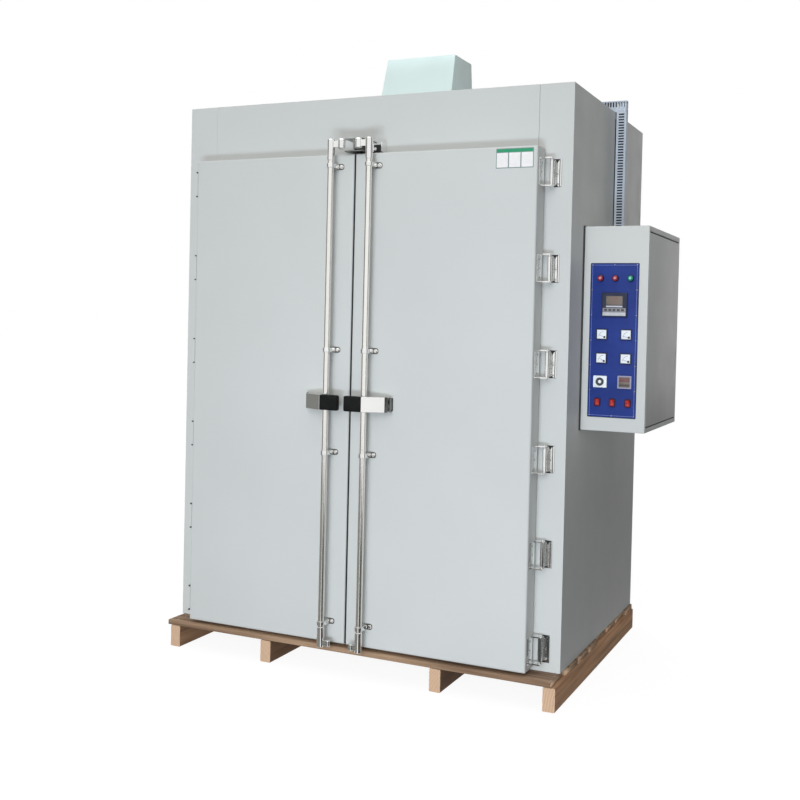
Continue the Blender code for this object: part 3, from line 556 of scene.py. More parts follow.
deck_low, deck_high = box("pallet_deck")
board_pitch = (deck_high[1] - deck_low[1] + board_gap) / board_count
boards = []
for number in range(board_count):
    front = deck_low[1] + number * board_pitch
    start = (deck_low[0] + rng.uniform(0, board_short / 2), front, deck_low[2])
    end = (deck_high[0] - rng.uniform(0, board_short), front + board_pitch - board_gap, deck_high[2])
    boards.append(plank(start, end, along=0))
parts = [((points, faces[:-2]), deck_wood) for points, faces in boards]
parts += [((points, faces[-2:]), cut_wood) for points, faces in boards]
deck = piece("deck_boards", parts, "root", ["pallet_deck"])
tidy_normals(deck.data, merge=0.00001)
board_tones = rng.uniform(0.72, 1.12, board_count)
side_faces = len(boards[0][1]) - 2
with_tone(deck, np.concatenate([np.repeat(board_tones, side_faces), np.repeat(board_tones, 2)]), 1)

# %% [markdown]
# The bearers are planks too, laid the other way. Their sawn front and back ends show the rings of the tree,
# so the two end faces take the end grain. The two inner bearers are darkened as painted shade under the
# deck. Two nails hold the front board on each bearer.

# %% Bearers and nails
nail_radius = 0.0035
inner_painted_shade = 0.45
bearer_places = []
for number in range(1, 5):
    low, high = box(f"pallet_bearer_{number}")
    bearer_places.append((low[0] + high[0]) / 2)
    shape = plank(low, high, along=1)
    bearer = piece(f"bearer_{number}", [(shape, bearer_wood)], "root",
                   [f"pallet_bearer_{number}"])
    # Painted shade: the inner bearers, in the shadow of the deck, are darkened
    shade = 1.0 if number in (1, 4) else inner_painted_shade
    with_tone(bearer, rng.uniform(0.85, 1.1, 1) * shade, len(shape[1]))
    last_faces(bearer, 2, cut_wood)

nail = lathe([(nail_radius, -0.002), (nail_radius, -0.0006), (nail_radius * 0.6, -0.0002)], around=10)
nail_rows = (deck_low[1] + 0.025, deck_low[1] + 0.075)
nail_places = [(x, y, deck_high[2]) for x in bearer_places for y in nail_rows]
piece("deck_nails", [(copies(nail, nail_places), zinc)], "root")

# %% [markdown]
# The body is folded sheet over mineral wool. Each side panel turns round to the front beside the doors, and
# the header, sill, back, floor and roof lie between them with fine seams. They are prisms on the frame's
# own boxes with their edges broken, and the side panel's fold is drawn in plan.

# %% Body panels
fold_edge = 0.0022
seam_edge = 0.0010
inner_half = box("wall_back")[1][0] + seam
body_back = box("wall_back")[1][1]
front_thick = box("header")[1][1]
side_plan = [
    (half_width, 0.0),
    (half_width, body_back),
    (inner_half, body_back),
    (inner_half, front_thick),
    (jamb, front_thick),
    (jamb, 0.0),
]
panel = prism(side_plan, body_low, body_high)
for side, tag in sides:
    piece(f"side_panel_{tag}", [(panel, paint)], "root", [f"wall_{tag}"], edge=fold_edge,
          side=side)

for name, node in (
    ("header_panel", "header"),
    ("sill_panel", "sill"),
    ("back_panel", "wall_back"),
    ("roof_sheet", "roof_panel"),
    ("floor_sheet", "floor_panel"),
):
    piece(name, [(block(*box(node)), paint)], "root", [node], edge=seam_edge)

# %% [markdown]
# Inside, the chamber is one folded stainless lining, whose shape in the frame is right already: it keeps
# its mesh and only takes a brushed look. The doorway's seal is a soft bulb on a flat foot. Its profile is
# closed, and it is carried round the doorway as a stack of rounded rectangles that ends where it began.

# %% Lining and seal
lining = frame["nodes"]["chamber_liner"].data
lining.materials.clear()
lining.materials.append(stainless)

seal_low, seal_high = box("door_gasket")
seal_width = 0.020
seal_depth = seal_high[1] - seal_low[1]
bulb = np.radians(np.linspace(0, 180, 13))
bulb_half = seal_width * 0.4
seal_foot = 0.0022
seal_profile = [
    (seal_width, 0.0),
    (seal_width, seal_foot),
    *zip(seal_width / 2 + bulb_half * np.cos(bulb), seal_foot + (seal_depth - seal_foot) * np.sin(bulb)),
    (0.0, seal_foot),
    (0.0, 0.0),
]
seal_corner = 0.024
ring = stack(seal_low[[0, 2]], seal_high[[0, 2]], seal_corner, seal_profile, closed_up=True, steps=6)
seal = stood([(ring, dark_rubber_and_shade)], (0, seal_high[1], 0))
piece("doorway_seal", seal, "root", ["door_gasket"])

# %% [markdown]
# Screws and bolts. A pan-head screw is a turned dome with a dark cross sunk in it, its dark painted shade,
# and a bolt is a six-sided head with a small washer. Both are drawn once, lying on a table, and stood up
# wherever they are needed.

# %% Screws and bolts
def screw(radius):
    """The shapes of a pan-head screw on the plane z = 0: its head and its cross."""
    height = 0.55 * radius
    angle = np.radians([0, 25, 50, 72, 88])
    dome = np.column_stack([radius * np.cos(angle), 0.2 * height + 0.8 * height * np.sin(angle)])
    head = lathe([(radius, -0.0002), *dome], around=20)
    top = height + 0.00008
    long, short = 0.5 * radius, 0.11 * radius
    # The cross's dark look is painted shade for the recess of a real cross
    cross = [
        block((-long, -short, height * 0.8), (long, short, top)),
        block((-short, -long, height * 0.8), (short, long, top - 0.00002)),
    ]
    return head, joined(cross)


def bolt(radius):
    """A hexagon head with a broken upper edge, on a washer."""
    angle = np.radians(np.arange(0, 360, 60))
    corners = np.column_stack([np.cos(angle), np.sin(angle)])
    rings = [
        at_level(corners * size, level)
        for size, level in ((radius, 0.0012), (radius, radius * 0.75), (radius * 0.88, radius * 0.85))
    ]
    washer = lathe([(radius * 1.35, -0.0002), (radius * 1.35, 0.0010), (radius * 1.25, 0.0013)], around=20)
    return joined([skin(rings), washer])


def screws(name, radius, places, facing, body, side=1):
    head, cross = (copies(shape, places, facing) for shape in screw(radius))
    return piece(name, [(head, zinc), (cross, dark)], body, side=side)


print("screw head:", len(screw(0.004)[0][0]), "points")

# %% [markdown]
# The hinges are chromed pressings. The leaf on the body is a notched plate with a rolled rim, and it holds
# the pin in a barrel between two ears. The leaf on the door is a channel with two eyes round the same pin.
# Six of each are made from one drawing; the frame's boxes give the levels.

# %% Hinge leaves
hinge_sheet = 0.003
hinge_half = 0.0535
ear_thick = 0.0052
leaf_half = hinge_half - ear_thick - 0.001
leaf_low, leaf_high = box("hinge_right_1")
plate_far, plate_front = leaf_high[0], -seam - hinge_sheet
rim_width, rim_rise = 0.0055, 0.003
groove = 0.0030
web_front, web_back = -0.050, 0.009
barrel_radius, pin_radius, eye_radius = 0.0075, 0.005, 0.010
notch_near, notch_tip, notch_far = 0.0050, 0.0125, 0.0185
plate_base, plate_top, notch_deep = -0.0515, 0.0500, 0.0155
backing_thick = 0.0012
web_crown = 0.0006
arm_front, arm_back, arm_end = -0.020, 0.009, 0.007
hinge_edge, hinge_screw = 0.0006, 0.0034
levels = [(box(f"hinge_right_{n}")[0][2] + box(f"hinge_right_{n}")[1][2]) / 2 for n in range(1, 7)]


def body_leaf():
    """The notched plate; its rim, ears, barrel and pin; and painted shade behind it, all about z = 0."""
    at = pin[0]
    flat_far = plate_far - rim_width - groove
    outline = np.array([
        (at - 0.006, -leaf_half), (at + notch_near, -leaf_half), (at + notch_tip - 0.001, plate_base + 0.008),
        (at + notch_far, plate_base), (flat_far, plate_base), (flat_far, plate_top - 0.0035),
        (at + notch_far, plate_top - 0.0050), (at + notch_tip, plate_top - notch_deep),
        (at + notch_near, leaf_half), (at - 0.006, leaf_half),
    ])
    plate = prism(round_corners(outline, 0.0009), plate_front, -seam, "y")
    behind = rounded_rectangle((at, plate_base - 0.001), (plate_far - 0.001, plate_top + 0.001), 0.0012)
    # A dark sheet behind the plate is painted shade, seen in the notch and round the plate's edge
    shade_backing = prism(behind, -seam - backing_thick, -seam + 0.0001, "y")
    rim_low, rim_high = (plate_far - rim_width, plate_front - rim_rise), (plate_far, plate_front + 0.001)
    rim = prism(rounded_rectangle(rim_low, rim_high, 0.0012), plate_base, plate_top)
    ear = [(at - 0.005, plate_front + 0.0015), *arc(pin[:2], barrel_radius, 180, 360, 14),
           (at + notch_near - 0.001, plate_front + 0.0015)]
    ear_lows = (-leaf_half + 0.0005, leaf_half - hinge_sheet - 0.0005)
    ears = [prism(ear, low, low + hinge_sheet) for low in ear_lows]
    inner = leaf_half - 0.004
    barrel = lathe([(barrel_radius, -inner), (barrel_radius, inner)], pin[:2], 32)
    reach = (leaf_high[2] - leaf_low[2]) / 2
    rod = lathe([(pin_radius * 0.8, -reach), (pin_radius, -reach + 0.0008), (pin_radius, reach - 0.0008),
                 (pin_radius * 0.8, reach)], pin[:2], 24)
    return plate, joined([rim, *ears, barrel, rod]), shade_backing


def door_leaf():
    """A channel on the door's side: a web between two ears that reach round the pin, about z = 0.

    The web is pressed: for t from -1 to 1 across it, it stands hinge_sheet / 2 + web_crown (1 - t^2) from the
    door.
    """
    root, face = door_side - 0.0005, door_side + hinge_sheet
    front, back = pin[1] + web_front, pin[1] + web_back
    across = np.linspace(-1, 1, 15)
    pressed = np.column_stack([door_side + hinge_sheet / 2 + web_crown * (1 - across ** 2),
                               (front + back) / 2 + across * (back - front) / 2])
    closed = np.concatenate([pressed, [(root, back), (root, front)]])
    web = prism(closed, -hinge_half + 0.002, hinge_half - 0.004)
    eye = pin_radius + 0.0005
    arm = [(face, arm_back), (root, arm_back), (root, arm_front), (pin[0] + arm_end, arm_front)]
    outside = np.concatenate([np.array(arm) + (0, pin[1]), arc(pin[:2], eye_radius, -25, 110, 12)])
    angle = np.arctan2(outside[:, 1] - pin[1], outside[:, 0] - pin[0])
    inside = pin[:2] + eye * np.column_stack([np.cos(angle), np.sin(angle)])
    spans = ((-hinge_half, ear_thick - hinge_half), (hinge_half - ear_thick, hinge_half))
    return web, joined([hollow(outside, inside, low, high) for low, high in spans])


leaf_screws = [(pin[0] + 0.0165, -leaf_half + 0.006), (pin[0] + 0.0150, -0.003)]
web_screws = [(pin[1] + (web_front + web_back) / 2, offset) for offset in (-0.034, 0.0, 0.034)]
heights = [(0, 0, level) for level in levels]
web_x = door_side + hinge_sheet / 2 + web_crown
leaf_places = [(x, plate_front, level + z) for level in levels for x, z in leaf_screws]
web_places = [(web_x, y, level + z) for level in levels for y, z in web_screws]
webs, ears = (copies(shape, heights) for shape in door_leaf())
for side, tag in sides:
    for number, height in enumerate(heights, 1):
        shapes = [placed(shape, height) for shape in body_leaf()]
        piece(f"body_leaf_{tag}_{number}", list(zip(shapes, (plated, chrome, dark))), "root",
              [f"hinge_{tag}_{number}"], edge=hinge_edge, side=side)
    # From the camera the left door's ears stand in shade beside its edge; their dark look is painted shade
    parts = [(webs, plated), (ears, dark if side < 0 else chrome)]
    piece(f"door_leaves_{tag}", parts, f"{tag}_door", edge=hinge_edge, side=side)
    screws(f"body_leaf_screws_{tag}", hinge_screw, leaf_places, "front", "root", side)
    screws(f"door_leaf_screws_{tag}", hinge_screw, web_places, "right", f"{tag}_door", side)

# %% [markdown]
# The doors. A door is a deep folded tray: its front edges are rolled to 8 mm and its back edges are sharp.
# It is a stack of rounded rectangles whose layers follow a quarter circle at the front. The pan inside is
# the lining that fills the doorway, so it has long sloping sides.

# %% Doors and pans
door_fold = 0.008
door_corner = 0.004
left_edge, right_edge = 0.0050, 0.0010
gap_shade_strip = 0.0020
door_thick = door_back - door_face
pan_slope = 0.012
pan_corner = 0.012
pan_low, pan_high = box("right_door_pan")
pan_deep = pan_high[1] - pan_low[1]
angle = np.linspace(0, math.pi / 2, 5)
crown = [(pan_slope * (0.35 + 0.65 * (1 - np.cos(a))), pan_deep - pan_slope * (1 - np.sin(a))) for a in angle]
tray = stack(pan_low[[0, 2]], pan_high[[0, 2]], pan_corner, [(0.0, 0.0), *crown])
pan = stood([(tray, stainless)], (0, pan_low[1], 0), "back")
layers = [(0.0012, 0.0), *edge_layers(0.0012, door_thick, door_fold, 7)]
for side, tag in sides:
    door = f"{tag}_door"
    inner_edge = left_edge if side < 0 else right_edge
    slab = stack((inner_edge, door_low), (door_side, door_high), door_corner, layers)
    slab = stood([(slab, paint)], (0, door_back, 0))
    piece(f"door_skin_{tag}", slab, door, [door], side=side)
    piece(f"door_pan_{tag}", pan, door, [f"{door}_pan"], side=side)

# The gap between the doors is dark all the way in: a thin strip of painted shade lies on the left door's edge
strip = stack((door_face + door_fold * 0.6, door_low + 0.004), (door_back - 0.002, door_high - 0.004), 0.001,
              edge_layers(-0.0002, gap_shade_strip, 0.0008, 3))
piece("door_gap_shade_strip", stood([(strip, dark_rubber_and_shade)], (-left_edge, 0, 0), "right"), "left_door")

# %% [markdown]
# On the right door's upper corner is a small plate. Here it stays blank: a green band over three pale
# fields, each a thin rounded plate, with nothing printed on it.

# %% Blank plate
plate_low, plate_high = (0.5875, 1.988), (0.7335, 2.0615)
band_height = 0.0125
field_gap = 0.0045
plate_margin = 0.003
printed = [(0, 0.0007), (0, 0.0010)]
back_plate = stack(plate_low, plate_high, 0.002, edge_layers(0.0, 0.0008, 0.0004))
band_base, field_top = plate_high[1] - band_height - 0.002, plate_high[1] - band_height - 0.004
band = stack((plate_low[0] + plate_margin, band_base),
             (plate_high[0] - plate_margin, plate_high[1] - plate_margin), 0.001, printed)
field_width = (plate_high[0] - plate_low[0] - 0.006 - 2 * field_gap) / 3
fields = []
for number in range(3):
    left = plate_low[0] + plate_margin + number * (field_width + field_gap)
    fields.append(stack((left, plate_low[1] + plate_margin), (left + field_width, field_top), 0.001, printed))
parts = [(back_plate, label_edge), (band, label_green), (joined(fields), label_white)]
piece("blank_plate", stood(parts, (0, door_face, 0)), "right_door")

# %% [markdown]
# Each lock bar turns in four guides. A guide is a foot with two bolts and a lug with a bore. The lug's
# outside is round in front and straight-sided behind, so its distance from the bore's middle is the smaller
# of the radius over |cos a| and the distance to the door over sin a. The same angles serve the bore, which
# gives two rings that can be joined into a closed band.

# %% Bar guides
bar_radius = 0.0125
guide_wall = 0.0035
guide_height = 0.016
foot_length, foot_height, foot_thick = 0.072, 0.024, 0.003
guide_bore = bar_radius + 0.0005
guide_outer = guide_bore + guide_wall
level_of_handle = hand[2]
guide_levels = (door_low + 0.087, level_of_handle - 0.202, level_of_handle + 0.205, door_high - 0.051)


def guide_lug():
    """Rings of the lug about the bar's axis, from z = -h/2 to h/2."""
    to_door = door_face - bar[1] + 0.0005
    corner = math.atan2(to_door, guide_outer)
    turn = np.linspace(0, math.tau, 48, endpoint=False)
    angle = np.sort(np.concatenate([turn, (corner, math.pi - corner)]))
    way = np.column_stack([np.cos(angle), np.sin(angle)])
    to_side = guide_outer / np.maximum(np.abs(way[:, 0]), 1e-6)
    to_back = to_door / np.maximum(way[:, 1], 1e-6)
    outer = way * np.where(way[:, 1] > 0, np.minimum(to_side, to_back), guide_outer)[:, None]
    half = guide_height / 2
    return hollow(outer + bar[:2], way * guide_bore + bar[:2], -half, half)


guide_bolt, bolt_offset = 0.0062, 0.026
half_foot = foot_length / 2
foot_corners = (bar[0] - half_foot, -foot_height / 2), (bar[0] + half_foot, foot_height / 2)
foot = prism(rounded_rectangle(*foot_corners, 0.010, 8), door_face - foot_thick, door_face + 0.0003, "y")
heights = [(0, 0, level) for level in guide_levels]
guides, feet = copies(guide_lug(), heights), copies(foot, heights)
bolt_places = [(bar[0] + offset, door_face - foot_thick, level)
               for level in guide_levels for offset in (-bolt_offset, bolt_offset)]
bolts = copies(bolt(guide_bolt), bolt_places, "front")
# The feet's darker steel is painted shade and painted dark reflection
for side, tag in sides:
    piece(f"bar_guides_{tag}", [(guides, chrome), (feet, steel_with_painted_shade)], f"{tag}_door", edge=0.0009,
          side=side)
    piece(f"guide_bolts_{tag}", [(bolts, chrome)], f"{tag}_door", side=side)

# %% [markdown]
# A lock bar is a long turned rod with a thicker sleeve at each end. Its two cams and its crank are arms: a
# flat neck that comes out of the bar and a turned boss at its end.

# %% Lock bars
sleeve_radius = 0.0150
bar_low, bar_high = box("right_lock_bar")[0][2], box("right_lock_bar")[1][2]
top_sleeve, bottom_sleeve = 0.082, 0.079
chamfer = 0.0012


def turned(radius, low, high, chamfer, centre, around):
    """A turned bar with broken ends."""
    inner = radius - chamfer
    profile = [(inner, low), (radius, low + chamfer), (radius, high - chamfer), (inner, high)]
    return lathe(profile, centre, around)


def arm(length, boss, neck, low, high, waist=0.0):
    """A neck from the bar's axis outwards, thinner by the waist above and below, and a boss at its end."""
    middle = (bar[0] + length, bar[1])
    sides_of_neck = (bar[1] - neck / 2, bar[1] + neck / 2)
    near, far = sorted((bar[0], middle[0]))
    web = block((near, sides_of_neck[0], low + waist), (far, sides_of_neck[1], high - waist))
    return joined([web, turned(boss, low, high, boss * 0.22, middle, 40)])


cam_low = door_high + 0.015
foot_cam_low = door_low - 0.002
cam_edge = 0.0008
arms = [
    arm(-0.0470, 0.0140, 0.012, cam_low - 0.003, cam_low + 0.036, 0.007),
    arm(0.0215, 0.0055, 0.009, bar[2] - 0.010, bar[2] + 0.010),
]
foot_cam = arm(-0.0325, 0.0115, 0.014, foot_cam_low, foot_cam_low + 0.026, 0.003)
rod_low, rod_high = bar_low + bottom_sleeve - 0.001, bar_high - top_sleeve + 0.001
rod = lathe([(bar_radius, rod_low), (bar_radius, rod_high)], bar[:2], 48)
ends = ((bar_low, bar_low + bottom_sleeve), (bar_high - top_sleeve, bar_high))
sleeves = joined([turned(sleeve_radius, low, high, chamfer, bar[:2], 48) for low, high in ends])
cams = [(joined(arms), chrome), (foot_cam, zinc)]
for side, tag in sides:
    body = f"{tag}_lock_bar"
    piece(f"lock_rod_{tag}", [(rod, rod_steel), (sleeves, chrome)], body, [body], side=side)
    piece(f"lock_cams_{tag}", cams, body, edge=cam_edge, side=side)

# %% [markdown]
# The handle is one folded sheet: a broad front that slopes to a turned-down lip, an ear above and below
# that reaches back to the pin, and a plate that closes it against the black grip. A bent sheet is a line of
# points and the same line moved sideways by its thickness.

# %% Levers, grips and their brackets
lever_height, lever_sheet = 0.060, 0.002
lever_inner = box("right_handle_lever")[0][0]
lever_front = door_face - 0.087
bend = (0.173, door_face - 0.0465)
lip = (0.1805, door_face - 0.034)
bar_play = 0.006
bracket_sheet, bracket_pin = 0.003, 0.004
grip_longer, grip_taller, grip_corner = 0.006, 0.003, 0.006


def ribbon(line, thick):
    """The line, and the line moved to its left by the thickness, mitred at the bends, as one outline."""
    line = np.asarray(line, float)
    run = unit(np.diff(line, axis=0))
    normal = np.column_stack([-run[:, 1], run[:, 0]])
    first, last = normal[[0]], normal[[-1]]
    middle = (normal[:-1] + normal[1:]) / (1 + (normal[:-1] * normal[1:]).sum(axis=1, keepdims=True))
    return np.concatenate([line, (line + np.concatenate([first, middle, last]) * thick)[::-1]])


def lever():
    """The folded sheet, its two ears and its end plate."""
    half = lever_height / 2
    front = [(lever_inner, lever_front), bend, lip]
    sheet = prism(ribbon(front, lever_sheet), hand[2] - half, hand[2] + half)
    clear = bar[0] + bar_radius + bar_play
    before_bar = bar[1] - bar_radius - bar_play
    back = [(clear + 0.012, hand[1] + 0.004), (clear, before_bar + 0.030), (clear, before_bar)]
    ear = np.concatenate([front, arc(hand[:2], 0.0075, -20, 120, 10), back, [(lever_inner, before_bar)]])
    ears = [prism(ear, hand[2] + low, hand[2] + low + lever_sheet) for low in (-half, half - lever_sheet)]
    end = block((lever_inner, lever_front + 0.001, hand[2] - half + 0.001),
                (lever_inner + lever_sheet, before_bar - 0.0005, hand[2] + half - 0.001))
    return joined([sheet, *ears, end])


def bracket():
    """A foot on the door, two ears and the pin that the lever turns on."""
    low, high = box("right_handle_bracket")
    half = (high[2] - low[2]) / 2
    inside = lever_height / 2 - lever_sheet - 0.0015
    foot = door_face - seam
    base = rounded_rectangle((hand[0] - 0.022, hand[2] - inside), (hand[0] + 0.007, hand[2] + inside), 0.003)
    ear = np.concatenate([
        [(hand[0] + 0.004, foot - 0.001), (hand[0] - 0.009, foot - 0.001)],
        arc(hand[:2], 0.0055, 180, 360, 12),
    ])
    ear_lows = (-inside + 0.0005, inside - 0.0035)
    ears = [prism(ear, hand[2] + low, hand[2] + low + bracket_sheet) for low in ear_lows]
    rod = turned(bracket_pin, -half, half, 0.0006, hand[:2], 20)
    return prism(base, foot - bracket_sheet, foot, "y"), joined([*ears, placed(rod, (0, 0, hand[2]))])


grip_low, grip_high = box("right_handle_grip")
grip_low = grip_low - (grip_longer, 0, grip_taller)
grip_high = grip_high + (0, 0, grip_taller)
grip_edge = edge_layers(0.005, grip_high[1] - grip_low[1], grip_corner, 6)[1:]
layers = [(0.0035, 0.0), (0.001, 0.0012), (0.0, 0.0035), *grip_edge]
grip = stack(grip_low[[0, 2]], grip_high[[0, 2]], grip_corner, layers, steps=6)
grip = stood([(grip, black)], (0, grip_high[1], 0))
# The bracket's ears and pin take the darker steel: painted shade under the lever
bracket_parts = list(zip(bracket(), (chrome, steel_with_painted_shade)))
lever_edge, bracket_edge = 0.0009, 0.0006
for side, tag in sides:
    handle = f"{tag}_handle"
    piece(f"lever_{tag}", [(lever(), chrome)], handle, [f"{handle}_lever"], edge=lever_edge,
          edge_steps=3, smooth=20, side=side)
    piece(f"lever_bracket_{tag}", bracket_parts, f"{tag}_door", [f"{handle}_bracket"],
          edge=bracket_edge, side=side)
    piece(f"grip_{tag}", grip, handle, [f"{handle}_grip"], side=side)

# %% [markdown]
# Above the doors, the keeper is a fork that the cams turn into: a back plate, a web and two tapered plates.
# The small bracket to its right is a bent strip with a bolt; the dark block inside the strip is painted
# shade.

# %% Keeper and header bracket
keeper_low, keeper_high = box("cam_keeper")
keeper_sheet = 0.004
plan = [(keeper_low[0], -0.001), (-0.040, keeper_low[1]), (0.040, keeper_low[1]), (keeper_high[0], -0.001)]
keeper = joined([
    block((keeper_low[0], -keeper_sheet - seam, keeper_low[2]), keeper_high),
    prism(round_corners(plan, 0.003), keeper_low[2], keeper_low[2] + keeper_sheet),
    prism(round_corners(plan, 0.003), keeper_high[2] - keeper_sheet, keeper_high[2]),
    block((-0.003, keeper_low[1] + 0.004, keeper_low[2] + 0.001), (0.003, -0.001, keeper_high[2] - 0.001)),
])
# The keeper's darker steel is painted shade and painted dark reflection
piece("keeper_fork", [(keeper, steel_with_painted_shade)], "root", ["cam_keeper"], edge=0.0008)

strip_low, strip_high = box("header_bracket")
strip_sheet, strip_bolt = 0.003, 0.005
near, far, front = strip_low[0], strip_high[0], strip_low[1]
line = [(near, front), (near, -seam), (far, -seam), (far, front)]
strip = prism(ribbon(line, -strip_sheet), strip_low[2], strip_high[2])
inside_shade = block((near + 0.0028, -seam - 0.0042, strip_low[2] + 0.001),
                     (far - 0.0028, -seam - 0.0028, strip_high[2] - 0.001))
middle = ((near + far) / 2, -seam - strip_sheet, (strip_low[2] + strip_high[2]) / 2)
head = placed(placed(bolt(strip_bolt), middle, "front"), (0, -0.0012, 0))
piece("header_strip", [(strip, chrome), (inside_shade, dark), (head, chrome)], "root",
      ["header_bracket"], edge=0.0007)

# %% [markdown]
# The control box hangs on the right side. Its skin is a stack of outlines that faces right: out to the rim,
# over it, and down into the shallow pocket where the cover sits. The cover is a plain plate with broken
# edges and a screw in each corner.

# %% Control box and cover
case_low, case_high = box("control_box")
cover_low, cover_high = box("control_box_cover")
cover_joint = 0.0045
standoff, shade_strip_reach = 0.0035, 0.010
pocket_low, pocket_high = cover_low[1:] - cover_joint, cover_high[1:] + cover_joint
case_edge, case_corner = 0.0025, 0.003
cover_in = 0.0015
pocket_deep = 0.0028
cover_screw, cover_screw_sunk = 0.0038, 0.0023


def case_skin():
    """Rounded rectangles from the standoff out to the rim, round its edge, and down to the pocket's floor."""
    low, high = case_low[1:], case_high[1:]
    width = case_high[0] - case_low[0]
    layers = [(0.0015, standoff), (0.0, standoff + 0.0015), *edge_layers(0.012, width, case_edge, 5)]
    rings = [at_level(rounded_rectangle(low + inset, high - inset, case_corner), height)
             for inset, height in layers]
    pocket = rounded_rectangle(pocket_low, pocket_high, 0.002)
    return skin([*rings, at_level(pocket, width), at_level(pocket, width - pocket_deep)])


# A dark strip between the case and the wall, reaching a little forward, is painted shade
box_shade_strip = stack(case_low[1:] - (shade_strip_reach, 0.002), case_high[1:] + 0.002, 0.004,
                 [(0, 0.0), (0, standoff + 0.0005)])
# The pocket's floor is dark: painted shade in the joint round the cover
pocket_shade_floor = stack(pocket_low + 0.0005, pocket_high - 0.0005, 0.0015, [(0, -0.0002), (0, 0.0002)])
parts = stood([(case_skin(), paint), (box_shade_strip, dark_rubber_and_shade)], (case_low[0], 0, 0), "right")
parts += stood([(pocket_shade_floor, dark)], (case_high[0] - pocket_deep, 0, 0), "right")
piece("control_case", parts, "root", ["control_box"])
cover = stack(cover_low[1:] + cover_in, cover_high[1:] - cover_in, 0.002,
              [(0, 0.0), *edge_layers(0.0, cover_high[0] - cover_low[0], 0.0008, 3)])
cover = stood([(cover, paint)], (cover_low[0], 0, 0), "right")
piece("control_cover", cover, "root", ["control_box_cover"])
corner_in = 0.016
screw_places = [
    (cover_high[0] - cover_screw_sunk, y, z)
    for y in (cover_low[1] + corner_in, cover_high[1] - corner_in)
    for z in (cover_low[2] + corner_in, cover_high[2] - corner_in)
]
screws("cover_screws", cover_screw, screw_places, "right", "root")

# %% [markdown]
# The blue panel is a thin plate with a printed border. Small screws run down both sides and one sits in the
# middle of the top and the bottom. Where the real panel is lettered, this one is bare.

# %% Instrument panel
panel_low, panel_high = box("instrument_panel")
panel_face = panel_low[1]
edge_in = 0.0075
panel_rim = 0.0022
panel_deep = panel_high[1] - panel_face
flat_low, flat_high = panel_low[[0, 2]], panel_high[[0, 2]]
# A navy sheet under the blue one shows as a thin dark line round it: painted shade at the panel's edges
shade_backing = stack(flat_low, flat_high, 0.003, [(0, 0.0), (0, panel_deep - 0.0006)])
sheet = stack(flat_low + panel_rim, flat_high - panel_rim, 0.002, edge_layers(0.0003, panel_deep, 0.0006, 3))
border_low, border_high = flat_low + edge_in, flat_high - edge_in
line_width, line_proud, panel_screw = 0.0009, 0.00012, 0.0026
printed = [(0, -0.0002), (0, line_proud), (line_width, line_proud), (line_width, -0.0002)]
border = stack(border_low, border_high, 0.002, printed, closed_up=True)
parts = stood([(sheet, blue), (shade_backing, navy_case_and_shade)], (0, panel_high[1], 0))
parts += stood([(border, lavender)], (0, panel_face, 0))
piece("blue_panel", parts, "root", ["instrument_panel"])
rows = np.linspace(border_low[1], border_high[1], 7)
panel_screws = [(x, panel_face, z) for x in (border_low[0], border_high[0]) for z in rows]
middle = (border_low[0] + border_high[0]) / 2
panel_screws += [(middle, panel_face, z) for z in (border_low[1], border_high[1])]
screws("panel_screws", panel_screw, panel_screws, "front", "root")

# %% [markdown]
# Every instrument is drawn in its own plane, with the middle of its back at zero and its front towards +z,
# and is then stood up against the panel. A bezel is a stack that goes out, over its rim and down to the
# window.

# %% Instrument cases
def half_of(node):
    """Half the width, half the height and the depth of an instrument, and where its back's middle lies."""
    low, high = box(node)
    place = ((low[0] + high[0]) / 2, high[1], (low[2] + high[2]) / 2)
    return (high[0] - low[0]) / 2, (high[2] - low[2]) / 2, high[1] - low[1], place


def bezel(wide, tall, deep, rim, floor, corner=0.003, edge=0.0015):
    """Out to the front edge, over the rim and down a sloping wall to a floor at the given depth."""
    inside = [(rim - 0.0006, deep), (rim, deep - 0.0006), (rim + 0.0004, floor)]
    return stack((-wide, -tall), (wide, tall), corner, [*edge_layers(0.0, deep, edge, 4), *inside])


def plate(low, high, base, top, corner=0.0008, edge=0.0003):
    return stack(low, high, corner, edge_layers(base, top, edge, 3))


print("controller depth", round(half_of("temperature_controller")[2], 4))

# %% [markdown]
# Digits that are not lit still show as faint bars. One digit is seven thin bars: three across and four
# upright.

# %% Seven-bar digits
bar_deep, digit_lean = 0.0003, 0.12


def digit(middle, height, level):
    """Three bars across and four upright in a box that is half as wide as it is tall, leaning a little."""
    wide, thin = height * 0.5, height * 0.09
    x, y = wide / 2, height / 2
    under = level - bar_deep
    across = [block((-x + thin, c - thin / 2, under), (x - thin, c + thin / 2, level)) for c in (-y, 0, y)]
    upright = [
        block((side * x - thin / 2, low + thin, under), (side * x + thin / 2, low + y - thin, level))
        for side in (-1, 1) for low in (-y, 0)
    ]
    points, faces = joined(across + upright)
    points = points + np.outer(points[:, 1], (digit_lean, 0, 0))
    return points + (*middle, 0), faces


def digit_row(count, middle, height, level):
    """Digits side by side about a middle."""
    pitch = height * 0.78
    offsets = (np.arange(count) - (count - 1) / 2) * pitch
    return joined([digit((middle[0] + offset, middle[1]), height, level) for offset in offsets])


# %% Temperature controller
wide, tall, deep, place = half_of("temperature_controller")
window_floor = deep - 0.0022


def field(across, bottom, top, under):
    """A plate on the window's floor, by shares of the half width and half height, just under the front."""
    low, high = (-wide * across, tall * bottom), (wide * across, tall * top)
    return plate(low, high, window_floor - 0.0002, deep - under)


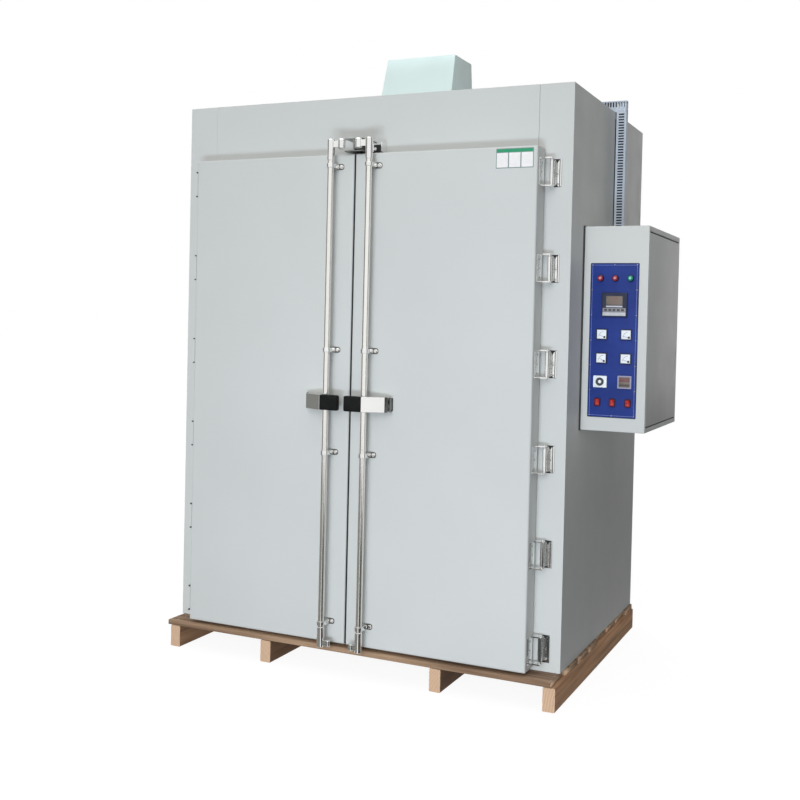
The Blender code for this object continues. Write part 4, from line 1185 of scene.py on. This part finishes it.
controller = [
    (bezel(wide, tall, deep, 0.0045, window_floor), navy_case_and_shade),
    (field(0.64, -0.02, 0.72, 0.0010), display),
    (digit_row(4, (0, tall * 0.50), tall * 0.26, deep - 0.0009), digits),
    (digit_row(4, (0, tall * 0.17), tall * 0.20, deep - 0.0009), digits),
    (field(0.64, -0.20, -0.07, 0.0012), pale),
    (field(0.90, -0.58, -0.27, 0.0011), grey),
    (field(0.90, -0.91, -0.61, 0.0009), pale),
]
half_button, button_top = 0.0055, deep - 0.0001
button_low, button_high = -tall * 0.51, -tall * 0.34
buttons = [
    plate((x - half_button, button_low), (x + half_button, button_high), window_floor, button_top,
          0.0015, 0.0006)
    for x in np.linspace(-wide * 0.66, wide * 0.66, 5)
]
controller.append((joined(buttons), key_plastic))
piece("controller", stood(controller, place), "root", ["temperature_controller"])

# %% [markdown]
# A meter is a dark case with a white dial under its rim. The needle turns about a pivot near the lower right
# corner, which a small dark cap covers, so its scale is an arc about that pivot: a thin ring and a row of
# ticks along it.

# %% Meters
def sector(centre, inner, outer, start, end, base, top, steps=20):
    """A flat strip between two arcs about one centre."""
    outline = np.concatenate([arc(centre, inner, start, end, steps), arc(centre, outer, end, start, steps)])
    return prism(outline, base, top)


def stroke(start, end, width, base, top):
    """A thin straight bar from one point to another."""
    start, end = np.asarray(start, float), np.asarray(end, float)
    side = unit(end - start)[::-1] * (-1, 1) * width / 2
    return prism([start - side, end - side, end + side, start + side], base, top)


def pointing(degrees):
    return np.array([math.cos(math.radians(degrees)), math.sin(math.radians(degrees))])


needle_angles = (158, 170, 150, 163)
scale_angles = (98, 172)
tick_from, needle_length, dial_in = 0.0215, 0.0225, 0.0038
for number, needle in enumerate(needle_angles, 1):
    wide, tall, deep, place = half_of(f"meter_{number}")
    dial = deep - 0.0010
    printed = dial + 0.00012
    pivot = np.array([wide * 0.52, -tall * 0.52])
    ticks = []
    for tick, angle in enumerate(np.linspace(*scale_angles, 11)):
        way = pointing(angle)
        tick_to = tick_from + (0.0034 if tick % 5 == 0 else 0.0020)
        ticks.append(stroke(pivot + way * tick_from, pivot + way * tick_to, 0.0004, dial, printed))
    tip = pivot + pointing(needle) * needle_length
    cap = lathe([(0.0042, dial), (0.0042, deep - 0.0004), (0.0034, deep), (0.0006, deep)], pivot, 24)
    # The dark rim round the dial is the case's navy and also painted shade round the dial
    meter = [
        (bezel(wide, tall, deep, 0.0034, dial - 0.0002, 0.002, 0.0008), navy_case_and_shade),
        (plate((dial_in - wide, dial_in - tall), (wide - dial_in, tall - dial_in), dial - 0.0006, dial),
         white),
        (joined([sector(pivot, 0.0210, 0.0217, *scale_angles, dial, printed), *ticks]), ink),
        (stroke(pivot, tip, 0.0009, dial + 0.0002, dial + 0.0005), dark),
        (cap, dark),
    ]
    piece(f"panel_meter_{number}", stood(meter, place), "root", [f"meter_{number}"])

# %% [markdown]
# The timer is a grey case with a dark face: unlit digits above, a row of four small keys below. The buzzer
# is a white plate with a dark ring and a white button in its middle, all turned shapes but the plate.

# %% Timer and buzzer
wide, tall, deep, place = half_of("timer")
face, face_in = deep - 0.0018, 0.0052
timer_frame = finish("timer_frame", (0.33, 0.33, 0.43), 0.38, patch=60.0)
red_window = glossy("red_window", (0.13, 0.050, 0.055))
keys = [plate((x - 0.0038, -tall * 0.62), (x + 0.0038, -tall * 0.30), face, deep - 0.0004, 0.001, 0.0005)
        for x in np.linspace(-wide * 0.54, wide * 0.54, 4)]
timer = [
    (bezel(wide, tall, deep, 0.0035, face - 0.0003), timer_frame),
    (plate((face_in - wide, face_in - tall), (wide - face_in, tall - face_in), face - 0.0006, face), display),
    (plate((-wide * 0.70, tall * 0.06), (wide * 0.70, tall * 0.74), face - 0.0003, face + 0.0003),
     red_window),
    (digit_row(4, (0, tall * 0.38), tall * 0.40, face + 0.0005), digits),
    (joined(keys), key_plastic),
]
piece("panel_timer", stood(timer, place), "root", ["timer"])

wide, tall, deep, place = half_of("buzzer")
base = 0.006
ring_radius = 0.0155
buzzer_ring = finish("buzzer_ring", (0.045, 0.048, 0.048), 0.4, patch=60.0)
ring_profile = [
    (ring_radius, base - 0.0005), (ring_radius, deep - 0.0012), (ring_radius - 0.0012, deep),
    (ring_radius - 0.0072, deep), (ring_radius - 0.0084, deep - 0.0012),
    (ring_radius - 0.0087, base - 0.0003),
]
button = [(0.0066, base - 0.0006), (0.0066, deep - 0.0022), (0.0058, deep - 0.0013), (0.003, deep - 0.0009),
          (0.0006, deep - 0.0008)]
buzzer = [
    (plate((-wide, -tall), (wide, tall), 0.0, base, 0.003, 0.0012), white),
    (lathe(ring_profile, around=48), buzzer_ring),
    (lathe(button, around=40), white),
]
piece("panel_buzzer", stood(buzzer, place), "root", ["buzzer"])

# %% [markdown]
# A pilot lamp is a dark ring with a lens that bulges out of it. Its middle is paler, partly its own glow
# and partly a painted highlight, so the lens is turned in two parts, the inner one a shallow dome on the
# outer one.

# %% Pilot lamps
lamp_looks = ((red, pink), (red, pink), (green, pale_green))
for number, (lens_look, glow_and_highlight_look) in enumerate(lamp_looks, 1):
    wide, tall, deep, place = half_of(f"lamp_{number}")
    collar = deep * 0.42
    lens = wide * 0.87
    angle = np.radians(np.linspace(0, 62, 7))
    rise = deep * 0.43 / math.sin(angle[-1])
    dome = [(lens * math.cos(a), deep * 0.55 + rise * math.sin(a)) for a in angle]
    bright_middle_radius = dome[-1][0]
    glow = [(bright_middle_radius, deep * 0.97), (bright_middle_radius * 0.7, deep * 0.995), (0.0006, deep)]
    lamp = [
        (lathe([(wide, 0), (wide, collar - 0.001), (wide - 0.001, collar), (lens + 0.0006, collar),
                (lens + 0.0002, collar - 0.002)], around=40), black),
        (lathe([(lens, collar - 0.002), *dome], around=40), lens_look),
        (lathe(glow, around=32), glow_and_highlight_look),
    ]
    slot = "green_plastic" if number == 3 else "red_plastic"
    piece(f"pilot_lamp_{number}", stood(lamp, place), "root", [f"lamp_{number}"])

# %% [markdown]
# A rocker is a surface of two parameters: across it is flat, and along it follows a shallow V, so that the
# pressed half lies low and the other half stands up. Its sides are the same grid's border carried down.

# %% Rocker switches
def rocker(half_wide, half_tall, floor, rise, low_rise):
    """Height = floor + low_rise + (rise - low_rise) t ** 1.6, for t from 0 to 1 along it.

    A sine sinks the middle, and both ends are rounded off.
    """
    way = np.linspace(0, 1, 13)
    height = floor + low_rise + (rise - low_rise) * way ** 1.6
    height = height - 0.0012 * np.sin(way * math.pi)
    height[[0, -1]] -= 0.0006
    across = np.array([-1.0, -0.93, -0.8, 0.8, 0.93, 1.0])
    drop = np.array([0.0009, 0.0002, 0.0, 0.0, 0.0002, 0.0009])
    profile = np.column_stack([np.append(across, (1.0, -1.0)), np.append(-drop, (0.0, 0.0))])
    rings = np.empty((len(way), len(profile), 3))
    rings[..., 0] = profile[:, 0] * half_wide
    rings[..., 1] = ((way * 2 - 1) * half_tall)[:, None]
    rings[..., 2] = height[:, None] + profile[:, 1]
    rings[:, -2:, 2] = floor - 0.0015
    return skin(rings)


frame_deep = 0.006
mark, mark_line = 0.0026, 0.0008
for number in range(1, 4):
    wide, tall, deep, place = half_of(f"rocker_switch_{number}")
    bar_mark = stroke((0, tall * 0.22), (0, tall * 0.46), 0.0011, deep - 0.0028, deep - 0.0012)
    under, over = deep - 0.0046, deep - 0.0034
    ring_mark = stack((-mark, -tall * 0.50), (mark, -tall * 0.50 + 2 * mark), mark,
                      [(0, under), (0, over), (mark_line, over), (mark_line, under)], closed_up=True, steps=6)
    switch = [
        (bezel(wide, tall, frame_deep, 0.0030, frame_deep - 0.003, 0.0050, 0.0010), rocker_rim),
        (rocker(wide - 0.0038, tall - 0.0044, frame_deep - 0.0005, deep - frame_deep, 0.0014), rocker_red),
        (joined([bar_mark, ring_mark]), rocker_mark),
    ]
    piece(f"rocker_{number}", stood(switch, place), "root", [f"rocker_switch_{number}"])

# %% [markdown]
# Slotted trunking is a folded wall with many small windows. It is drawn unfolded, as a grid: along it run
# the rows, a thin one for each slot and a thicker one for each rib, and across it the columns go round the
# four walls. The cells that are slots are left out, the grid is folded into a box, and Solidify gives it
# its wall.

# %% Slotted trunking
trunk_wall = 0.0016
slot_pitch = 0.0114
slot_width = 0.0062
wall_gap = 0.0045


def duct(width, thick, length, slot_from, slot_to, last_slot):
    """Grid point (i, j) is station i along the duct and corner j round it: back, near side, cover, far side.

    Slots are the cells between slot_from and slot_to on the two sides, from the end downwards.
    """
    around = np.array([(0, 0), (slot_from, 0), (slot_to, 0), (width, 0),
                       (width, thick), (slot_to, thick), (slot_from, thick), (0, thick)], float)
    count = int((length - 2 * last_slot) / slot_pitch) + 1
    middles = length - last_slot - slot_pitch * np.arange(count)
    way = np.sort(np.concatenate([(0.0, length), middles - slot_width / 2, middles + slot_width / 2]))
    rings = np.empty((len(way), len(around), 3))
    rings[..., :2] = around
    rings[..., 2] = way[:, None]
    points, faces = skin(rings)
    quads = np.array(faces[:-2]).reshape(len(way) - 1, len(around), 4)
    slotted = np.zeros(quads.shape[:2], bool)
    slotted[1::2, [1, 5]] = True
    return points, quads[~slotted].tolist()


def with_wall(obj, thick):
    wall = obj.modifiers.new("wall", "SOLIDIFY")
    wall.thickness = thick
    wall.offset = -1.0
    wall.use_even_offset = True
    return obj


riser_low, riser_high = box("trunking_riser")
run_low, run_high = box("trunking_roof_run")
trunk_width, trunk_thick = riser_high[0] - riser_low[0], riser_high[1] - riser_low[1]
points, faces = duct(trunk_width - wall_gap, trunk_thick, riser_high[2] - riser_low[2], 0.0137 - wall_gap,
                     trunk_width - wall_gap - 0.0087, 0.010)
riser = ((points + riser_low + (wall_gap, 0, 0), faces), duct_look)
with_wall(piece("slotted_riser", [riser], "root", ["trunking_riser"]), trunk_wall)

# %% [markdown]
# The run over the roof is the same duct, laid down: its length runs along x, its slots stand upright and
# reach almost to its top. Inside both is a dark web, painted shade that makes the slots read as openings.
# The riser stands off the wall on a narrower dark strip, painted shadow of the gap behind it.

# %% Roof run and the dark web
run_length, run_tall = run_high[0] - run_low[0], run_high[2] - run_low[2]
points, faces = duct(run_tall, trunk_thick, run_length, run_tall - 0.026, run_tall - 0.005, 0.010)
laid = np.column_stack([points[:, 2], points[:, 1], points[:, 0]]) + run_low
run = piece("slotted_run", [((laid, faces), duct_look)], "root", ["trunking_roof_run"])
with_wall(run, trunk_wall)
# Painted shade: dark webs inside the ducts and a dark strip behind the riser
webs = [
    block((riser_low[0] + 0.0002, riser_low[1] + 0.002, riser_low[2] + 0.002),
          (riser_low[0] + wall_gap + 0.001, riser_high[1] - 0.002, riser_high[2] - 0.030)),
    block((riser_low[0] + 0.006, riser_low[1] + 0.004, riser_low[2] + 0.002),
          (riser_high[0] - 0.003, riser_high[1] - 0.004, riser_high[2] - 0.002)),
    block((run_low[0] + 0.002, run_low[1] + 0.004, run_low[2] + 0.003),
          (run_high[0] - 0.047, run_high[1] - 0.004, run_high[2] - 0.003)),
]
piece("trunking_shade_web", [(joined(webs), dark)], "root")

# %% [markdown]
# The housing on the roof is a tapered sheet cover. Its four corners slope by different amounts, so it is a
# loft between two rectangles, with its edges broken wide enough to catch the light.

# %% Roof housing
hood_low, hood_high = box("roof_housing")
hood_top_half, hood_top_front, hood_top_back = 0.163, 0.515, 0.713
hood_corner = 0.0030
rows = (
    (hood_low[:2], hood_high[:2], hood_low[2]),
    ((-hood_top_half, hood_top_front), (hood_top_half, hood_top_back), hood_high[2]),
)
rings = [at_level(rounded_rectangle(low, high, hood_corner), level) for low, high, level in rows]
piece("roof_cover", [(skin(rings), mint)], "root", ["roof_housing"], edge=0.0025)

# %% [markdown]
# Light. One very broad sun stands almost behind the camera, and a weaker one behind the oven on the left,
# so that the far sides aren't lost. A soft one overhead lights the upper edges. The world is white to the
# camera and to reflections but lights the oven much less: a grey door then renders about as grey as it is
# written, and the right side well under half of that. A large, bluish lamp low in front lights the doors'
# lower half most.

# %% Floor that meets the white world
ambient = 0.12
key = {"strength": 1.50, "softness": 40.0, "direction": (-0.14, 0.94, -0.26)}
fill = {"strength": 0.7, "softness": 60.0, "direction": (0.62, -0.66, -0.42)}
overhead = {"strength": 1.15, "softness": 80.0, "direction": (0.0, 0.30, -1.0)}
suns = {"key": key, "fill": fill, "overhead": overhead}
low_lamp_power, low_lamp_place, low_lamp_size = 140.0, (1.1, -4.2, 0.1), (1.6, 0.8)
low_lamp_colour = (0.80, 0.89, 1.0)
floor_shade, floor_glow_share = 0.35, 0.60


def seen_rays(tree):
    """1 for rays from the camera, from gloss or through glass, else 0."""
    path = new_node(tree, "LightPath", {})
    total = path.outputs["Is Camera Ray"]
    for kind in ("Is Glossy Ray", "Is Transmission Ray"):
        total = new_node(tree, "Math", {0: total, 1: path.outputs[kind]}, operation="MAXIMUM").outputs[0]
    return total


def flat_stage(name, corners, look):
    """One four-cornered face that belongs to the studio and not to the oven."""
    mesh = bpy.data.meshes.new(name)
    mesh.from_pydata(corners, [], [(0, 1, 2, 3)])
    mesh.materials.append(look)
    obj = bpy.data.objects.new(name, mesh)
    bpy.context.scene.collection.objects.link(obj)
    return obj


def pale_floor():
    """A matt floor with just enough white of its own to look as white as the world where no shadow falls."""
    falling = [lamp["strength"] * -unit(np.array(lamp["direction"]))[2] / math.pi for lamp in suns.values()]
    lit = floor_shade * (ambient + sum(falling))
    look, tree = new_look("pale_floor")
    shader = feed(tree, tree.nodes["Principled BSDF"], {
        "Base Color": (floor_shade, floor_shade, floor_shade, 1.0),
        "Roughness": 0.9,
        "Specular IOR Level": 0.0,
    })
    strength = 1.02 * (1 - (1 - floor_glow_share) * lit) / floor_glow_share
    glow = new_node(tree, "Emission", {"Strength": strength})
    share = new_node(tree, "Math", {0: seen_rays(tree), 1: floor_glow_share}, operation="MULTIPLY")
    mixer = new_node(tree, "MixShader", {0: share.outputs[0], 1: shader.outputs[0], 2: glow.outputs[0]})
    feed(tree, tree.nodes["Material Output"], {"Surface": mixer.outputs[0]})
    return look


reach, below = 40.0, -0.0005
square = [(-reach, -reach, below), (reach, -reach, below), (reach, reach, below), (-reach, reach, below)]
flat_stage("floor", square, pale_floor())

# %% World, suns and the low lamp
world = bpy.data.worlds.new("studio")
world.use_nodes = True
bpy.context.scene.world = world
tree = world.node_tree
inputs = {0: seen_rays(tree)}
for slot, strength in enumerate((ambient, 1.0), 1):
    background = new_node(tree, "Background", {"Color": (1.0, 1.0, 1.0, 1.0), "Strength": strength})
    inputs[slot] = background.outputs[0]
mixer = new_node(tree, "MixShader", inputs)
feed(tree, tree.nodes["World Output"], {"Surface": mixer.outputs[0]})

for name, lamp in suns.items():
    sun = bpy.data.objects.new(name, bpy.data.lights.new(name, "SUN"))
    sun.data.energy = lamp["strength"]
    sun.data.angle = math.radians(lamp["softness"])
    sun.rotation_euler = Vector(lamp["direction"]).to_track_quat("-Z", "Y").to_euler()
    sun.visible_glossy = False
    bpy.context.scene.collection.objects.link(sun)

low_lamp = bpy.data.objects.new("low_lamp", bpy.data.lights.new("low_lamp", "AREA"))
low_lamp.data.shape = "RECTANGLE"
low_lamp.data.size, low_lamp.data.size_y = low_lamp_size
low_lamp.data.energy = low_lamp_power
low_lamp.data.color = low_lamp_colour
low_lamp.location = origin + low_lamp_place
lamp_aim = Vector((-low_lamp_place[0], -low_lamp_place[1], 0.3))
low_lamp.rotation_euler = lamp_aim.to_track_quat("-Z", "Y").to_euler()
low_lamp.visible_glossy = False
bpy.context.scene.collection.objects.link(low_lamp)
print("lamps:", ", ".join([*suns, low_lamp.name]))

# %% [markdown]
# Chrome shows what stands round it, and in an empty white studio it would vanish. So cards that only
# reflections can see stand about the oven: dark ones at both sides give the bars their dark edges, two lie
# on the floor in front with a bright wedge left open between them, one lies along the right side, and a
# bright one overhead draws a thin line of light along the upper edges.

# %% Cards for the reflections
card_top, card_right, card_left = 3.6, 3.2, -4.0
apron_front, apron_back, apron_level = -6.0, -0.12, 0.002


def upright_card(x, front, back):
    return [(x, front, 0), (x, back, 0), (x, back, card_top), (x, front, card_top)]


def lying_card(back_line, front_line):
    """A floor card between a line at its back and a line at its front, each given by its two x values."""
    corners = [(x, apron_back) for x in back_line] + [(x, apron_front) for x in reversed(front_line)]
    return [(x, y, apron_level) for x, y in corners]


cards = {
    "right_card": (upright_card(card_right, -0.8, 5.5), 0.06),
    "left_card": (upright_card(card_left, -4.6, -0.2), 0.24),
    "left_apron": (lying_card((-5.0, 0.0), (-5.0, 0.80)), 0.24),
    "right_apron": (lying_card((0.12, card_right), (1.75, card_right)), 0.08),
    "side_apron": ([(0.95, apron_back, apron_level), (card_right, apron_back, apron_level),
                    (card_right, 14.0, apron_level), (0.95, 14.0, apron_level)], 0.08),
    "ceiling_card": ([(-3.0, -1.0, 6.0), (3.0, -1.0, 6.0), (3.0, 0.8, 6.0), (-3.0, 0.8, 6.0)], 4.0),
}
for name, (corners, shade) in cards.items():
    look, tree = new_look(name)
    glow = new_node(tree, "Emission", {"Color": (1.0, 1.0, 0.95, 1.0), "Strength": shade})
    feed(tree, tree.nodes["Material Output"], {"Surface": glow.outputs[0]})
    card = flat_stage(name, [tuple(origin + corner) for corner in corners], look)
    for kind in ("camera", "diffuse", "transmission", "volume_scatter", "shadow"):
        setattr(card, f"visible_{kind}", False)
bpy.context.scene.view_settings.view_transform = "Standard"
print("light: ambient", ambient, "key", key["strength"], "fill", fill["strength"])
